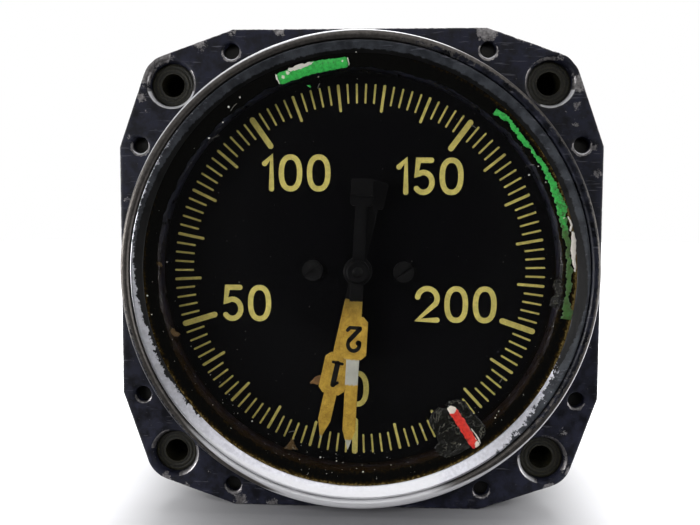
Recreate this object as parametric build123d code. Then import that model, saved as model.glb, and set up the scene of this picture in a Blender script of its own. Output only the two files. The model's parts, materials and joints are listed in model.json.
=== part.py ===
from build123d import *
import os
from math import asin, atan2, cos, degrees, hypot, radians, sin, sqrt

# Torquemeter indicator: two pointers on one axis over a round dial, in a case that
# fastens behind a panel. Millimetres. The origin is on the dial's axis, in the plane
# where the flange meets the panel. The dial faces -Y, +X is to its right, +Z is up.

# Flange and collar
HOLE_SPACING = 62.865  # panel screws, on a square
COLLAR_TO_HOLE = 5.2  # from the collar's wall to a corner hole's centre
COLLAR_DEPTH = 3.4  # how far the collar stands out of the flange
COLLAR_WALL = 1.45
COLLAR_EDGE_R = 0.6
FLANGE_MARGIN = 1.15  # from the collar to each straight side
SIDE_LENGTH = 42.0  # of each straight side
CORNER_R = 5.0
CASE_SCREW_OFFSET = 3.25  # from the collar's wall out to the small screws
CASE_SCREW_ANGLES = (30, 60, 120, 150, 210, 240, 300, 330)
CASE_SCREW_R = 1.25
CASE_SCREW_HEAD_R = 2.1
CASE_SCREW_HEAD = 1.6
CASE_SCREW_SHORT = 1.3  # from the flange's front down to the screw's end

# Corner inserts
INSERT_R = 3.6
INSERT_BORE_R = 1.95
INSERT_DEPTH = 1.2  # from the flange's front down to the insert
INSERT_HEAD_R = 4.6
INSERT_HEAD = 1.0
INSERT_TAIL = 2.6  # behind its head
INSERT_TAIL_R = 3.2
INSERT_END = 0.8  # the bore is closed behind, so the case stays clean
INSERT_CLEARANCE = 0.1
CORNER_CHAMFER = 0.35

# Glass and what holds it, counted from the collar's front edge towards the rear
GLASS_RECESS = 1.5
GLASS_CLEARANCE = 0.5  # from the collar's bore in to the glass
GLASS_T = 2.0
RING_CLEARANCE = 0.2  # the dark line round the ring
RING_WIDTH = 2.05  # from the collar's bore in to the ring's inner edge
RING_EDGE = 0.25
RING_RISE = 1.2
SEALANT_WIDTH = 2.35
SEALANT_EDGE = 0.15
GASKET_T = 0.8
GASKET_STEP = 0.6  # from the lip's bore out to the gasket
LIP_WIDTH = 3.9  # from the collar's bore in to the lip's

# Pointers and dial
GLASS_TO_POINTER = 1.2
POINTER_T = 0.5
POINTER_SPACE = 0.7  # between the two pointers
POINTER_TO_DIAL = 1.1
DIAL_CLEARANCE = 0.9  # inside the case
DIAL_T = 0.8
DIAL_GAP = 0.3  # between the flange's back and the dial
DIAL_TURN = 0.73  # the dial sits this many degrees clockwise of upright
DIAL_SCREW_X = 7.9
DIAL_SCREW_R = 1.1
DIAL_SCREW_HEAD_R = 1.8
DIAL_SCREW_HEAD = 0.7
DIAL_SCREW_SHORT = 0.2  # of the plate's back
DIAL_BORE_CLEARANCE = 0.5  # round the shaft

POINTER_1_ANGLE = 12.4  # clockwise of straight down
POINTER_1_TIP = 29.9
POINTER_1_PLATE = (14.6, 21.75)  # where its number's plate starts and ends
POINTER_2_ANGLE = 2.9
POINTER_2_TIP = 30.7
POINTER_2_PLATE = (7.65, 15.0)
POINTER_WIDTH = 2.2
POINTER_PLATE_WIDTH = 4.5
POINTER_PLATE_CORNER = 0.85
POINTER_POINT = 3.4  # length of the taper at the tip
TAIL_WIDTH = 2.0
TAIL_END_R = 15.8
TAIL_PAD_WIDTH = 3.8
TAIL_PAD_LENGTH = 4.6
TAIL_PAD_CORNER_R = 0.6
COUNTERWEIGHT_T = 0.8
COUNTERWEIGHT_MARGIN = 0.1
DENSITY_RATIO = 8500 / 2700  # counterweight metal to pointer metal
HUB_WALL_1 = 0.9
HUB_WALL_2 = 1.1
HUB_LENGTH = 1.1
HUB_EDGE = 0.3
HUB_1_STEP = 0.2  # from the blade's front forward to the hub's
HUB_2_STEP = 0.4

# Shafts, one running inside the other
INNER_SHAFT_R = 0.9
SHAFT_CLEARANCE = 0.05
OUTER_SHAFT_WALL = 0.65
SHAFT_TIP = 0.35  # past the front hub
SHAFT_EDGE = 0.2
SHAFT_SHOULDER = 2.0  # of the rear shaft, in front of its motor
SHAFT_SHORT = 0.3  # of the motor's rear face

# Case
CASE_STEP = 0.75  # from the collar's wall in to the case's
CASE_WALL = 2.2
CASE_REAR_WALL = 3.0
CASE_REAR_SPACE = 11.3  # for wiring, between the mechanism and the rear wall
CASE_FLANGE_T = 4.0
CASE_FLANGE_INSET = 0.5
CASE_EDGE_R = 5.0
CASE_ROOT = 1.2  # of the sloped root between the barrel and its flange
SCALLOP_CLEARANCE = 1.8  # round a corner insert's head
LUG_HEIGHT = 6.5
LUG_WIDTH = 8.0
LUG_LENGTH = 8.0
LUG_ANGLES = (90, 210, 330)
LUG_CORNER_R = 2.4
LUG_SINK = 0.5  # of a lug's root into the case's wall
LUG_SCREW_OFFSET = 3.2  # from the lug's tip out to its screw

# Mechanism plates and posts
PLATE_CLEARANCE = 0.5
PLATE_T = 2.4
POST_CLEARANCE = 2.5  # between a post and the motors
POST_ANGLES = (30, 150, 270)
POST_R = 2.5
POST_MARGIN = 4.0  # from the posts' circle out to the rear plate's edge
PLATE_SCREW_R = 1.1
PLATE_SCREW_HEAD_R = 2.0
PLATE_SCREW_LENGTH = 6.0
SCREW_SINK = 0.3  # of a countersunk head below its face
MOTOR_SCREW_CIRCLE = 15.5
REAR_SCREW_HEAD = 1.3

# Ball bearings
BEARING_R = 4.76
BEARING_WIDTH = 3.97
BEARING_INSET = 0.5
BEARING_LIP = 0.8
BEARING_WALL = 1.44
RACE_T = 0.82
SHIELD_T = 0.25
SHIELD_CLEARANCE = 0.1  # round the inner race

# Synchro motors
MOTOR_R = 24.0
MOTOR_WALL = 1.8
MOTOR_SPACE = 8.0  # between the two motors
MOTOR_END_T = 3.6
SPIGOT_H = 1.5
SPIGOT_CLEARANCE = 0.05
RABBET_LENGTH = 2.0  # of the end bell's rim inside the housing
RABBET_T = 1.5
STATOR_BORE_R = 12.7
STATOR_CLEARANCE = 0.05
CORE_LENGTH = 16.0
SLOTS = 12
SLOT_WIDTH = 3.2
SLOT_MOUTH = 1.0
YOKE = 3.2  # of the stator, behind its slots
TOOTH_TIP = 1.0
WINDING_CLEARANCE = 0.1
END_TURN_LENGTH = 3.2
END_TURN_RISE = 0.8  # past the slots' tops
END_TURN_EDGE = 0.9
AIR_GAP = 0.3
NECK_WIDTH = 7.0
POLE_FACE = 4.2
COIL_MARGIN = 1.2  # from a coil's side out to the end of the pole's face
COIL_LENGTH_OVER = 2.6
COIL_TO_BEARING = 3.93
COIL_TO_SHAFT = 0.6
COIL_TO_SLEEVE = 0.4
SLEEVE_T = 1.8
SLEEVE_LENGTH = 4.6
SLEEVE_TO_BEARING = 0.93
SLIP_RING_T = 0.8
SLIP_RING_WIDTH = 1.2
BRUSH_CLEARANCE = 0.05
BRUSH_THICKNESS = 0.7
BRUSH_WIDTH = 1.0
BRUSH_LENGTH = 4.75
BLOCK_SIZE = (3.6, 8.0)
BLOCK_EDGE = 0.6
BLOCK_CLEARANCE = 0.3  # behind the stator winding

# Electrical receptacle at the rear
SHELL_R = 14.29
SHELL_WALL = 1.69
SHELL_MARGIN = 3.16  # from the shell to each side of its flange
SHELL_FLANGE_T = 2.4
SHELL_FLANGE_CORNER = 3.0
SHELL_SCREW_INSET = 3.965  # from each side of its flange in to a screw
SHELL_LENGTH = 16.0  # behind its flange
SHELL_EDGE = 0.6
INSULATOR_DEPTH = 11.5  # from the shell's mouth down to the insulator
INSULATOR_CLEARANCE = 0.05
PIN_R = 0.79
PIN_DEPTH = 5.2  # from the shell's mouth down to the pins' tips
PIN_INSET = 4.0  # from the shell's bore in to the outer circle of pins
OUTER_PINS = 8
INNER_PINS = 2
INNER_PIN_CIRCLE = 3.2
PIN_TAIL = 4.0
PIN_EDGE = 0.45
KEY_WIDTH = 2.4
KEY_HEIGHT = 0.9
RECEPTACLE_GASKET_T = 0.8
RECEPTACLE_SCREW_R = 1.25
RECEPTACLE_HEAD_R = 2.3
RECEPTACLE_HEAD = 1.5
RECEPTACLE_SCREW_SHORT = 0.5  # of the wall's inner face
REAR_HOLE_MARGIN = 0.9  # outside the shell's bore

# Screws in general
TAPPED_CLEARANCE = 0.1  # round a screw drawn without its thread
FREE_CLEARANCE = 0.25  # round a screw in a plain hole
SCREW_SLOT_WIDTH = 0.5
SCREW_SLOT_DEPTH = 0.5
SCREW_TURN = 37.0  # a slot's angle, as the screw happened to stop
PAST = 1.0  # how far a cut runs past the face it opens

# Radii worked out from the sizes above
HALF_SPACING = HOLE_SPACING / 2
COLLAR_R = HALF_SPACING * sqrt(2) - COLLAR_TO_HOLE
COLLAR_INNER_R = COLLAR_R - COLLAR_WALL
FLANGE_HALF = COLLAR_R + FLANGE_MARGIN
CASE_SCREW_CIRCLE = COLLAR_R + CASE_SCREW_OFFSET
GLASS_R = COLLAR_INNER_R - GLASS_CLEARANCE
RING_INNER_R = COLLAR_INNER_R - RING_WIDTH
SEALANT_INNER_R = RING_INNER_R - SEALANT_WIDTH
LIP_R = COLLAR_INNER_R - LIP_WIDTH
CORNER_BORE_R = INSERT_R + INSERT_CLEARANCE
CASE_R = COLLAR_R - CASE_STEP
CASE_INNER_R = CASE_R - CASE_WALL
CORNER_SCALLOP_R = INSERT_HEAD_R + SCALLOP_CLEARANCE
LUG_INNER_R = CASE_INNER_R - LUG_HEIGHT
LUG_SCREW_CIRCLE = LUG_INNER_R + LUG_SCREW_OFFSET
POST_CIRCLE = MOTOR_R + POST_CLEARANCE + POST_R
REAR_PLATE_R = POST_CIRCLE + POST_MARGIN
DIAL_R = CASE_INNER_R - DIAL_CLEARANCE
OUTER_SHAFT_R = INNER_SHAFT_R + SHAFT_CLEARANCE + OUTER_SHAFT_WALL
DIAL_BORE_R = OUTER_SHAFT_R + DIAL_BORE_CLEARANCE
SPIGOT_R = BEARING_R + BEARING_WALL
MOTOR_INNER_R = MOTOR_R - MOTOR_WALL
SLOT_TOP_R = MOTOR_INNER_R - YOKE
ROTOR_R = STATOR_BORE_R - AIR_GAP
COIL_HALF_WIDTH = sqrt(ROTOR_R**2 - (ROTOR_R - POLE_FACE) ** 2) - COIL_MARGIN
SLEEVE_R = OUTER_SHAFT_R + SLEEVE_T
SLIP_RING_R = SLEEVE_R + SLIP_RING_T
SHELL_BORE_R = SHELL_R - SHELL_WALL
SHELL_FLANGE = 2 * (SHELL_R + SHELL_MARGIN)

# Places along a motor's axis, from its front face
CORE_START = BEARING_INSET + BEARING_WIDTH + COIL_TO_BEARING + COIL_LENGTH_OVER
CORE_END = CORE_START + CORE_LENGTH
SLEEVE_START = CORE_END + COIL_LENGTH_OVER + COIL_TO_SLEEVE
REAR_BEARING = SLEEVE_START + SLEEVE_LENGTH + SLEEVE_TO_BEARING
MOTOR_LENGTH = REAR_BEARING + BEARING_WIDTH + BEARING_INSET
BEARING_FRONTS = (BEARING_INSET, REAR_BEARING)

# Places along the dial's axis, from the flange's front face
COLLAR_FRONT = -COLLAR_DEPTH
GLASS_FRONT = COLLAR_FRONT + GLASS_RECESS
GLASS_BACK = GLASS_FRONT + GLASS_T
LIP_FRONT = GLASS_BACK + GASKET_T
POINTER_2_FRONT = GLASS_BACK + GLASS_TO_POINTER
POINTER_1_FRONT = POINTER_2_FRONT + POINTER_T + POINTER_SPACE
DIAL_FRONT = POINTER_1_FRONT + POINTER_T + POINTER_TO_DIAL
FLANGE_BACK = DIAL_FRONT - DIAL_GAP
CASE_FRONT = FLANGE_BACK + GASKET_T
CASE_FLANGE_BACK = CASE_FRONT + CASE_FLANGE_T
PLATE_FRONT = DIAL_FRONT + DIAL_T
PLATE_BACK = PLATE_FRONT + PLATE_T
REAR_MOTOR_FRONT = PLATE_BACK + MOTOR_LENGTH + MOTOR_SPACE
REAR_PLATE_FRONT = REAR_MOTOR_FRONT + MOTOR_LENGTH
REAR_PLATE_BACK = REAR_PLATE_FRONT + PLATE_T
CASE_INNER_BACK = REAR_PLATE_BACK + CASE_REAR_SPACE
CASE_BACK = CASE_INNER_BACK + CASE_REAR_WALL
SHELL_SEAT = CASE_BACK + RECEPTACLE_GASKET_T
SHELL_FLANGE_BACK = SHELL_SEAT + SHELL_FLANGE_T
SHELL_MOUTH = SHELL_FLANGE_BACK + SHELL_LENGTH

CORNER_HOLES = [(x * HALF_SPACING, z * HALF_SPACING) for x in (-1, 1) for z in (-1, 1)]


def slab(outline, front, back):
    """A flat outline, drawn with x to the right and y up, as a plate between two places on Y."""
    return extrude(Plane.XZ.offset(-front) * outline, front - back)


def rod(radius, front, back, x=0.0, z=0.0):
    """A round bar along Y."""
    return slab(Pos(x, z) * Circle(radius), front, back)


def turned(*points):
    """A solid turned about the dial's axis from a closed profile of (radius, y) points."""
    return revolve(make_face(Polyline(*points, close=True)), Axis.Y)


def ring(inner, outer, front, back):
    """A plain ring about the dial's axis."""
    return turned((inner, front), (outer, front), (outer, back), (inner, back))


def at_angle(radius, angle):
    """The x and z of a point at an angle anticlockwise from +X."""
    return radius * cos(radians(angle)), radius * sin(radians(angle))


def group(solids):
    """Separate solids that share one node."""
    return Compound(children=list(solids))


def flange_outline(inset=0.0):
    """A square whose sides slope from the ends of their flats to round corners."""
    half, flat, corner = FLANGE_HALF - inset, SIDE_LENGTH / 2, CORNER_R - inset
    dx, dz = HALF_SPACING - flat, HALF_SPACING - half
    reach = hypot(dx, dz)
    slope = atan2(dz, dx) + asin(corner / reach)
    tangent = sqrt(reach**2 - corner**2)
    start = (flat + tangent * cos(slope), half + tangent * sin(slope))
    middle = HALF_SPACING + corner * sqrt(0.5)
    edges = []
    for turn in range(4):
        edges += [
            Rot(0, 0, -90 * turn) * edge
            for edge in (
                Line((-flat, half), (flat, half)),
                Line((flat, half), start),
                ThreePointArc(start, (middle, middle), (start[1], start[0])),
                Line((start[1], start[0]), (half, flat)),
            )
        ]
    return make_face(edges)


def case_screw_places():
    return [at_angle(CASE_SCREW_CIRCLE, angle) for angle in CASE_SCREW_ANGLES]


def slotted_head(radius, head):
    """A round slotted head that stands on Z = 0."""
    top = Cylinder(radius, head, align=(Align.CENTER, Align.CENTER, Align.MIN))
    slot = Box(2 * (radius + PAST), SCREW_SLOT_WIDTH, 2 * SCREW_SLOT_DEPTH)
    return top - Pos(0, 0, head) * slot


def headed_screw(shank_r, shank, head_r, head, turn=0.0):
    """A slotted screw along Z: its head stands on Z = 0 and its shank goes down."""
    body = Cylinder(shank_r, shank, align=(Align.CENTER, Align.CENTER, Align.MAX))
    return Rot(0, 0, turn) * (slotted_head(head_r, head) + body)


def flat_screw(shank_r, length, head_r):
    """A slotted countersunk screw along Z: the head's face is at Z = 0."""
    cone = head_r - shank_r
    profile = Polyline(
        (0, 0), (head_r, 0), (shank_r, -cone), (shank_r, -length), (0, -length), close=True
    )
    body = revolve(make_face(Plane.XZ * profile), Axis.Z)
    return body - Box(2 * (head_r + PAST), SCREW_SLOT_WIDTH, SCREW_SLOT_DEPTH)


def facing_front(place, front):
    """Puts a screw drawn along Z with its head towards -Y."""
    return Pos(place[0], front, place[1]) * Rot(90, 0, 0)


def facing_rear(place, back):
    """Puts a screw drawn along Z with its head towards +Y."""
    return Pos(place[0], back, place[1]) * Rot(-90, 0, 0)


# Front of the case

def front_flange():
    plate = slab(flange_outline(), 0, FLANGE_BACK)
    plate += rod(COLLAR_R, COLLAR_FRONT, FLANGE_BACK)
    plate -= rod(COLLAR_INNER_R, COLLAR_FRONT - PAST, LIP_FRONT)
    plate -= rod(LIP_R, COLLAR_FRONT, FLANGE_BACK + PAST)
    rims = plate.edges().filter_by(GeomType.CIRCLE).group_by(Axis.Y)[0]
    plate = fillet(rims, COLLAR_EDGE_R)
    for x, z in CORNER_HOLES:
        plate -= rod(CORNER_BORE_R, -PAST, FLANGE_BACK + PAST, x, z)
        rim = Cone(CORNER_BORE_R, CORNER_BORE_R + CORNER_CHAMFER, CORNER_CHAMFER)
        plate -= Pos(x, CORNER_CHAMFER / 2, z) * Rot(90, 0, 0) * rim
    for x, z in case_screw_places():
        plate -= rod(CASE_SCREW_R + TAPPED_CLEARANCE, -PAST, FLANGE_BACK + PAST, x, z)
    return plate


def mounting_inserts():
    insert = rod(INSERT_R, INSERT_DEPTH, FLANGE_BACK)
    insert += rod(INSERT_HEAD_R, FLANGE_BACK, FLANGE_BACK + INSERT_HEAD)
    tail_end = FLANGE_BACK + INSERT_HEAD + INSERT_TAIL
    insert += rod(INSERT_TAIL_R, FLANGE_BACK, tail_end)
    insert -= rod(INSERT_BORE_R, 0, tail_end - INSERT_END)
    return group(Pos(x, 0, z) * insert for x, z in CORNER_HOLES)


def flange_screws():
    shank = CASE_FLANGE_BACK - CASE_SCREW_SHORT
    screws = []
    for count, place in enumerate(case_screw_places()):
        screw = headed_screw(CASE_SCREW_R, shank, CASE_SCREW_HEAD_R, CASE_SCREW_HEAD, SCREW_TURN * count)
        screws.append(facing_rear(place, CASE_FLANGE_BACK) * screw)
    return group(screws)


def glass_retaining_ring():
    outer = COLLAR_INNER_R - RING_CLEARANCE
    crest = GLASS_FRONT - RING_RISE
    return turned(
        (RING_INNER_R, GLASS_FRONT),
        (outer, GLASS_FRONT),
        (outer, crest),
        (outer - RING_EDGE, crest),
        (RING_INNER_R, GLASS_FRONT - RING_EDGE),
    )


def glass_sealant():
    return turned(
        (SEALANT_INNER_R, GLASS_FRONT),
        (RING_INNER_R, GLASS_FRONT),
        (RING_INNER_R, GLASS_FRONT - RING_EDGE),
        (SEALANT_INNER_R + SEALANT_EDGE, GLASS_FRONT - SEALANT_EDGE),
    )


def cover_glass():
    return rod(GLASS_R, GLASS_FRONT, GLASS_BACK)


def glass_gasket():
    return ring(LIP_R + GASKET_STEP, GLASS_R, GLASS_BACK, LIP_FRONT)


# Case

def case_flange_outline():
    outline = flange_outline(CASE_FLANGE_INSET)
    for x, z in CORNER_HOLES:
        outline -= Pos(x, z) * Circle(CORNER_SCALLOP_R)
        outline -= Pos(x, z) * Rot(0, 0, degrees(atan2(z, x))) * Rectangle(
            4 * CORNER_R, 2 * CORNER_SCALLOP_R, align=(Align.MIN, Align.CENTER)
        )
    return outline


def case_gasket():
    outline = case_flange_outline() - Circle(CASE_INNER_R)
    for x, z in case_screw_places():
        outline -= Pos(x, z) * Circle(CASE_SCREW_R + FREE_CLEARANCE)
    return slab(outline, FLANGE_BACK, CASE_FRONT)


def receptacle_screw_places():
    half = SHELL_FLANGE / 2 - SHELL_SCREW_INSET
    return [(x * half, z * half) for x in (-1, 1) for z in (-1, 1)]


def sloped_root():
    """The cast slope round the barrel, behind its flange."""
    inner, outer = CASE_R - CASE_ROOT, CASE_R + CASE_ROOT
    end = CASE_FLANGE_BACK + CASE_ROOT
    return turned((inner, CASE_FLANGE_BACK), (outer, CASE_FLANGE_BACK), (CASE_R, end), (inner, end))


def case_body():
    cup = rod(CASE_R, CASE_FRONT, CASE_BACK)
    cup = fillet(cup.edges().sort_by(Axis.Y)[-1], CASE_EDGE_R)
    cup += slab(case_flange_outline(), CASE_FRONT, CASE_FLANGE_BACK)
    cup += sloped_root() & slab(flange_outline(CASE_FLANGE_INSET), CASE_FRONT, CASE_BACK)
    cup -= rod(CASE_INNER_R, CASE_FRONT - PAST, CASE_INNER_BACK)
    for angle in LUG_ANGLES:
        lug = Pos((LUG_INNER_R + CASE_R) / 2, PLATE_BACK + LUG_LENGTH / 2, 0) * Box(
            CASE_R - LUG_INNER_R, LUG_LENGTH, LUG_WIDTH
        )
        lug = fillet(lug.edges().filter_by(Axis.Y).group_by(Axis.X)[0], LUG_CORNER_R)
        cup += Rot(0, -angle, 0) * (lug & rod(CASE_INNER_R + LUG_SINK, CASE_FRONT, CASE_BACK))
        x, z = at_angle(LUG_SCREW_CIRCLE, angle)
        cup -= rod(PLATE_SCREW_R + TAPPED_CLEARANCE, PLATE_BACK, PLATE_BACK + LUG_LENGTH, x, z)
    for x, z in case_screw_places():
        cup -= rod(CASE_SCREW_R + FREE_CLEARANCE, CASE_FRONT - PAST, CASE_FLANGE_BACK + PAST, x, z)
    cup -= rod(SHELL_BORE_R + REAR_HOLE_MARGIN, CASE_INNER_BACK - PAST, CASE_BACK + PAST)
    for x, z in receptacle_screw_places():
        radius = RECEPTACLE_SCREW_R + TAPPED_CLEARANCE
        cup -= rod(radius, CASE_INNER_BACK - PAST, CASE_BACK + PAST, x, z)
    return cup


# Dial and pointers

def dial():
    disc = Circle(DIAL_R) - Circle(DIAL_BORE_R)
    for x, z in dial_screw_places():
        disc -= Pos(x, z) * Circle(DIAL_SCREW_R + FREE_CLEARANCE)
    return slab(disc, DIAL_FRONT, PLATE_FRONT)


def dial_screw_places():
    return [at_angle(DIAL_SCREW_X, angle - DIAL_TURN) for angle in (0, 180)]


def dial_screws():
    shank = DIAL_T + PLATE_T - DIAL_SCREW_SHORT
    screw = headed_screw(DIAL_SCREW_R, shank, DIAL_SCREW_HEAD_R, DIAL_SCREW_HEAD, SCREW_TURN)
    return group(facing_front(place, DIAL_FRONT) * screw for place in dial_screw_places())


def pointer_outline(tip, plate):
    """A blade with a clipped plate for its number and a tail with a wide end."""
    half = POINTER_WIDTH / 2
    shoulder = POINTER_POINT - tip
    corners = ((-half, 0), (-half, shoulder), (0, -tip), (half, shoulder), (half, 0))
    blade = make_face(Polyline(*corners, close=True))
    length = plate[1] - plate[0]
    number_plate = chamfer(Rectangle(POINTER_PLATE_WIDTH, length).vertices(), POINTER_PLATE_CORNER)
    blade += Pos(0, -(plate[0] + plate[1]) / 2) * number_plate
    blade += Rectangle(TAIL_WIDTH, TAIL_END_R - TAIL_PAD_LENGTH / 2, align=(Align.CENTER, Align.MIN))
    pad = RectangleRounded(TAIL_PAD_WIDTH, TAIL_PAD_LENGTH, TAIL_PAD_CORNER_R)
    return blade + Pos(0, TAIL_END_R - TAIL_PAD_LENGTH / 2) * pad


def pointer(tip, plate, front, hub_size):
    """A flat blade on a hub, whose size is given as its front, its bore and its wall."""
    hub_front, bore_r, wall = hub_size
    hub_back = hub_front + HUB_LENGTH
    hub = rod(bore_r + wall, hub_front, hub_back)
    hub = chamfer(hub.edges().sort_by(Axis.Y)[0], HUB_EDGE)
    blade = slab(pointer_outline(tip, plate), front, front + POINTER_T)
    return blade + hub - rod(bore_r, hub_front - PAST, hub_back + PAST)


def counterweight(blade, front, back):
    """A small weight on the tail's wide end, as long as it takes to balance the blade."""
    width = TAIL_PAD_WIDTH - 2 * COUNTERWEIGHT_MARGIN
    moment = -blade.volume * blade.center().Z / DENSITY_RATIO
    end = TAIL_END_R - COUNTERWEIGHT_MARGIN
    length = end - sqrt(end**2 - 2 * moment / (width * (back - front)))
    weight = Pos(0, end) * Rectangle(width, length, align=(Align.CENTER, Align.MAX))
    return slab(weight, front, back)


def pointer_1_blade():
    hub = (POINTER_1_FRONT - HUB_1_STEP, OUTER_SHAFT_R, HUB_WALL_1)
    return pointer(POINTER_1_TIP, POINTER_1_PLATE, POINTER_1_FRONT, hub)


def pointer_2_blade():
    hub = (POINTER_2_FRONT - HUB_2_STEP, INNER_SHAFT_R, HUB_WALL_2)
    return pointer(POINTER_2_TIP, POINTER_2_PLATE, POINTER_2_FRONT, hub)


def pointer_1_counterweight():
    back = POINTER_1_FRONT + POINTER_T
    return counterweight(pointer_1_blade(), back, back + COUNTERWEIGHT_T)


def pointer_2_counterweight():
    return counterweight(pointer_2_blade(), POINTER_2_FRONT - COUNTERWEIGHT_T, POINTER_2_FRONT)


# Frame of the mechanism

def ring_of_places(radius, angles):
    return [at_angle(radius, angle) for angle in angles]


def front_screw_places():
    return (
        ring_of_places(LUG_SCREW_CIRCLE, LUG_ANGLES)
        + ring_of_places(POST_CIRCLE, POST_ANGLES)
        + ring_of_places(MOTOR_SCREW_CIRCLE, POST_ANGLES)
    )


def rear_screw_places():
    return ring_of_places(POST_CIRCLE, POST_ANGLES) + ring_of_places(
        MOTOR_SCREW_CIRCLE, LUG_ANGLES
    )


def mechanism_plate():
    plate = rod(CASE_INNER_R - PLATE_CLEARANCE, PLATE_FRONT, PLATE_BACK)
    plate -= rod(SPIGOT_R + SPIGOT_CLEARANCE, PLATE_FRONT - PAST, PLATE_BACK + PAST)
    for x, z in dial_screw_places():
        plate -= rod(DIAL_SCREW_R + TAPPED_CLEARANCE, PLATE_FRONT - PAST, PLATE_BACK + PAST, x, z)
    for x, z in front_screw_places():
        plate -= rod(PLATE_SCREW_R + TAPPED_CLEARANCE, PLATE_FRONT - PAST, PLATE_BACK + PAST, x, z)
        cone = PLATE_SCREW_HEAD_R - PLATE_SCREW_R
        head_r = PLATE_SCREW_HEAD_R + TAPPED_CLEARANCE
        sink = Cone(head_r - cone, head_r, cone, align=(Align.CENTER, Align.CENTER, Align.MAX))
        sink += Cylinder(head_r, SCREW_SINK, align=(Align.CENTER, Align.CENTER, Align.MIN))
        plate -= facing_front((x, z), PLATE_FRONT + SCREW_SINK) * sink
    return plate


def plate_screws():
    screw = flat_screw(PLATE_SCREW_R, PLATE_SCREW_LENGTH, PLATE_SCREW_HEAD_R)
    return group(
        facing_front(place, PLATE_FRONT + SCREW_SINK) * screw for place in front_screw_places()
    )


def frame_posts():
    post = rod(POST_R, PLATE_BACK, REAR_PLATE_FRONT)
    for front, back in (
        (PLATE_BACK - PAST, PLATE_FRONT + PLATE_SCREW_LENGTH + PAST),
        (REAR_PLATE_BACK - PLATE_SCREW_LENGTH - PAST, REAR_PLATE_FRONT + PAST),
    ):
        post -= rod(PLATE_SCREW_R + TAPPED_CLEARANCE, front, back)
    return group(Pos(x, 0, z) * post for x, z in ring_of_places(POST_CIRCLE, POST_ANGLES))


def rear_plate():
    plate = rod(REAR_PLATE_R, REAR_PLATE_FRONT, REAR_PLATE_BACK)
    plate -= rod(SPIGOT_R, REAR_PLATE_FRONT - PAST, REAR_PLATE_BACK + PAST)
    for x, z in rear_screw_places():
        radius = PLATE_SCREW_R + FREE_CLEARANCE
        plate -= rod(radius, REAR_PLATE_FRONT - PAST, REAR_PLATE_BACK + PAST, x, z)
    return plate


def rear_plate_screws():
    screw = headed_screw(PLATE_SCREW_R, PLATE_SCREW_LENGTH, PLATE_SCREW_HEAD_R, REAR_SCREW_HEAD, SCREW_TURN)
    return group(facing_rear(place, REAR_PLATE_BACK) * screw for place in rear_screw_places())


# One synchro motor, drawn with its front face at y = 0


def motor_housing():
    cup = rod(MOTOR_R, 0, MOTOR_LENGTH - MOTOR_END_T)
    cup += rod(SPIGOT_R, -SPIGOT_H, 0)
    cup -= rod(MOTOR_INNER_R, MOTOR_END_T, MOTOR_LENGTH)
    cup += rod(SPIGOT_R, 0, BEARING_FRONTS[0] + BEARING_WIDTH)
    cup -= rod(BEARING_R, BEARING_FRONTS[0], MOTOR_LENGTH)
    cup -= rod(BEARING_R - BEARING_LIP, -SPIGOT_H - PAST, PAST)
    for x, z in ring_of_places(MOTOR_SCREW_CIRCLE, POST_ANGLES):
        cup -= rod(PLATE_SCREW_R + TAPPED_CLEARANCE, -PAST, MOTOR_END_T + PAST, x, z)
    return cup


def motor_end_bell():
    front = MOTOR_LENGTH - MOTOR_END_T
    bell = rod(MOTOR_R, front, MOTOR_LENGTH)
    rim = MOTOR_INNER_R - STATOR_CLEARANCE
    bell += ring(rim - RABBET_T, rim, front - RABBET_LENGTH, front)
    bell += rod(SPIGOT_R, BEARING_FRONTS[1], MOTOR_LENGTH)
    bell -= rod(BEARING_R, 0, BEARING_FRONTS[1] + BEARING_WIDTH)
    bell -= rod(BEARING_R - BEARING_LIP, 0, MOTOR_LENGTH + PAST)
    for x, z in ring_of_places(MOTOR_SCREW_CIRCLE, LUG_ANGLES):
        bell -= rod(PLATE_SCREW_R + TAPPED_CLEARANCE, front - PAST, MOTOR_LENGTH + PAST, x, z)
    return bell


def slot_outline(gap=0.0):
    """One stator slot, its length along +X."""
    root = Rectangle(
        SLOT_TOP_R - STATOR_BORE_R - TOOTH_TIP - gap,
        SLOT_WIDTH - 2 * gap,
        align=(Align.MIN, Align.CENTER),
    )
    return Pos(STATOR_BORE_R + TOOTH_TIP, 0) * root


def stator_core():
    outline = Circle(MOTOR_INNER_R - STATOR_CLEARANCE) - Circle(STATOR_BORE_R)
    mouth = Pos(STATOR_BORE_R - PAST, 0) * Rectangle(
        TOOTH_TIP + 2, SLOT_MOUTH, align=(Align.MIN, Align.CENTER)
    )
    for turn in range(SLOTS):
        outline -= Rot(0, 0, turn * 360 / SLOTS) * (slot_outline() + mouth)
    return slab(outline, CORE_START, CORE_END)


def end_turn(root, side):
    """The ring of wire at one end of the stator, bevelled where it leaves the core."""
    inner, outer = STATOR_BORE_R + TOOTH_TIP, SLOT_TOP_R + END_TURN_RISE
    end = root + side * END_TURN_LENGTH
    bevel = side * END_TURN_EDGE
    return turned(
        (inner, root),
        (outer, root),
        (outer, end - bevel),
        (outer - END_TURN_EDGE, end),
        (inner + END_TURN_EDGE, end),
        (inner, end - bevel),
    )


def stator_winding():
    front, back = CORE_START - WINDING_CLEARANCE, CORE_END + WINDING_CLEARANCE
    winding = end_turn(front, -1) + end_turn(back, 1)
    bar = Pos(WINDING_CLEARANCE, 0, 0) * slab(slot_outline(WINDING_CLEARANCE), front, back)
    for turn in range(SLOTS):
        winding += Rot(0, -turn * 360 / SLOTS, 0) * bar
    return winding


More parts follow.
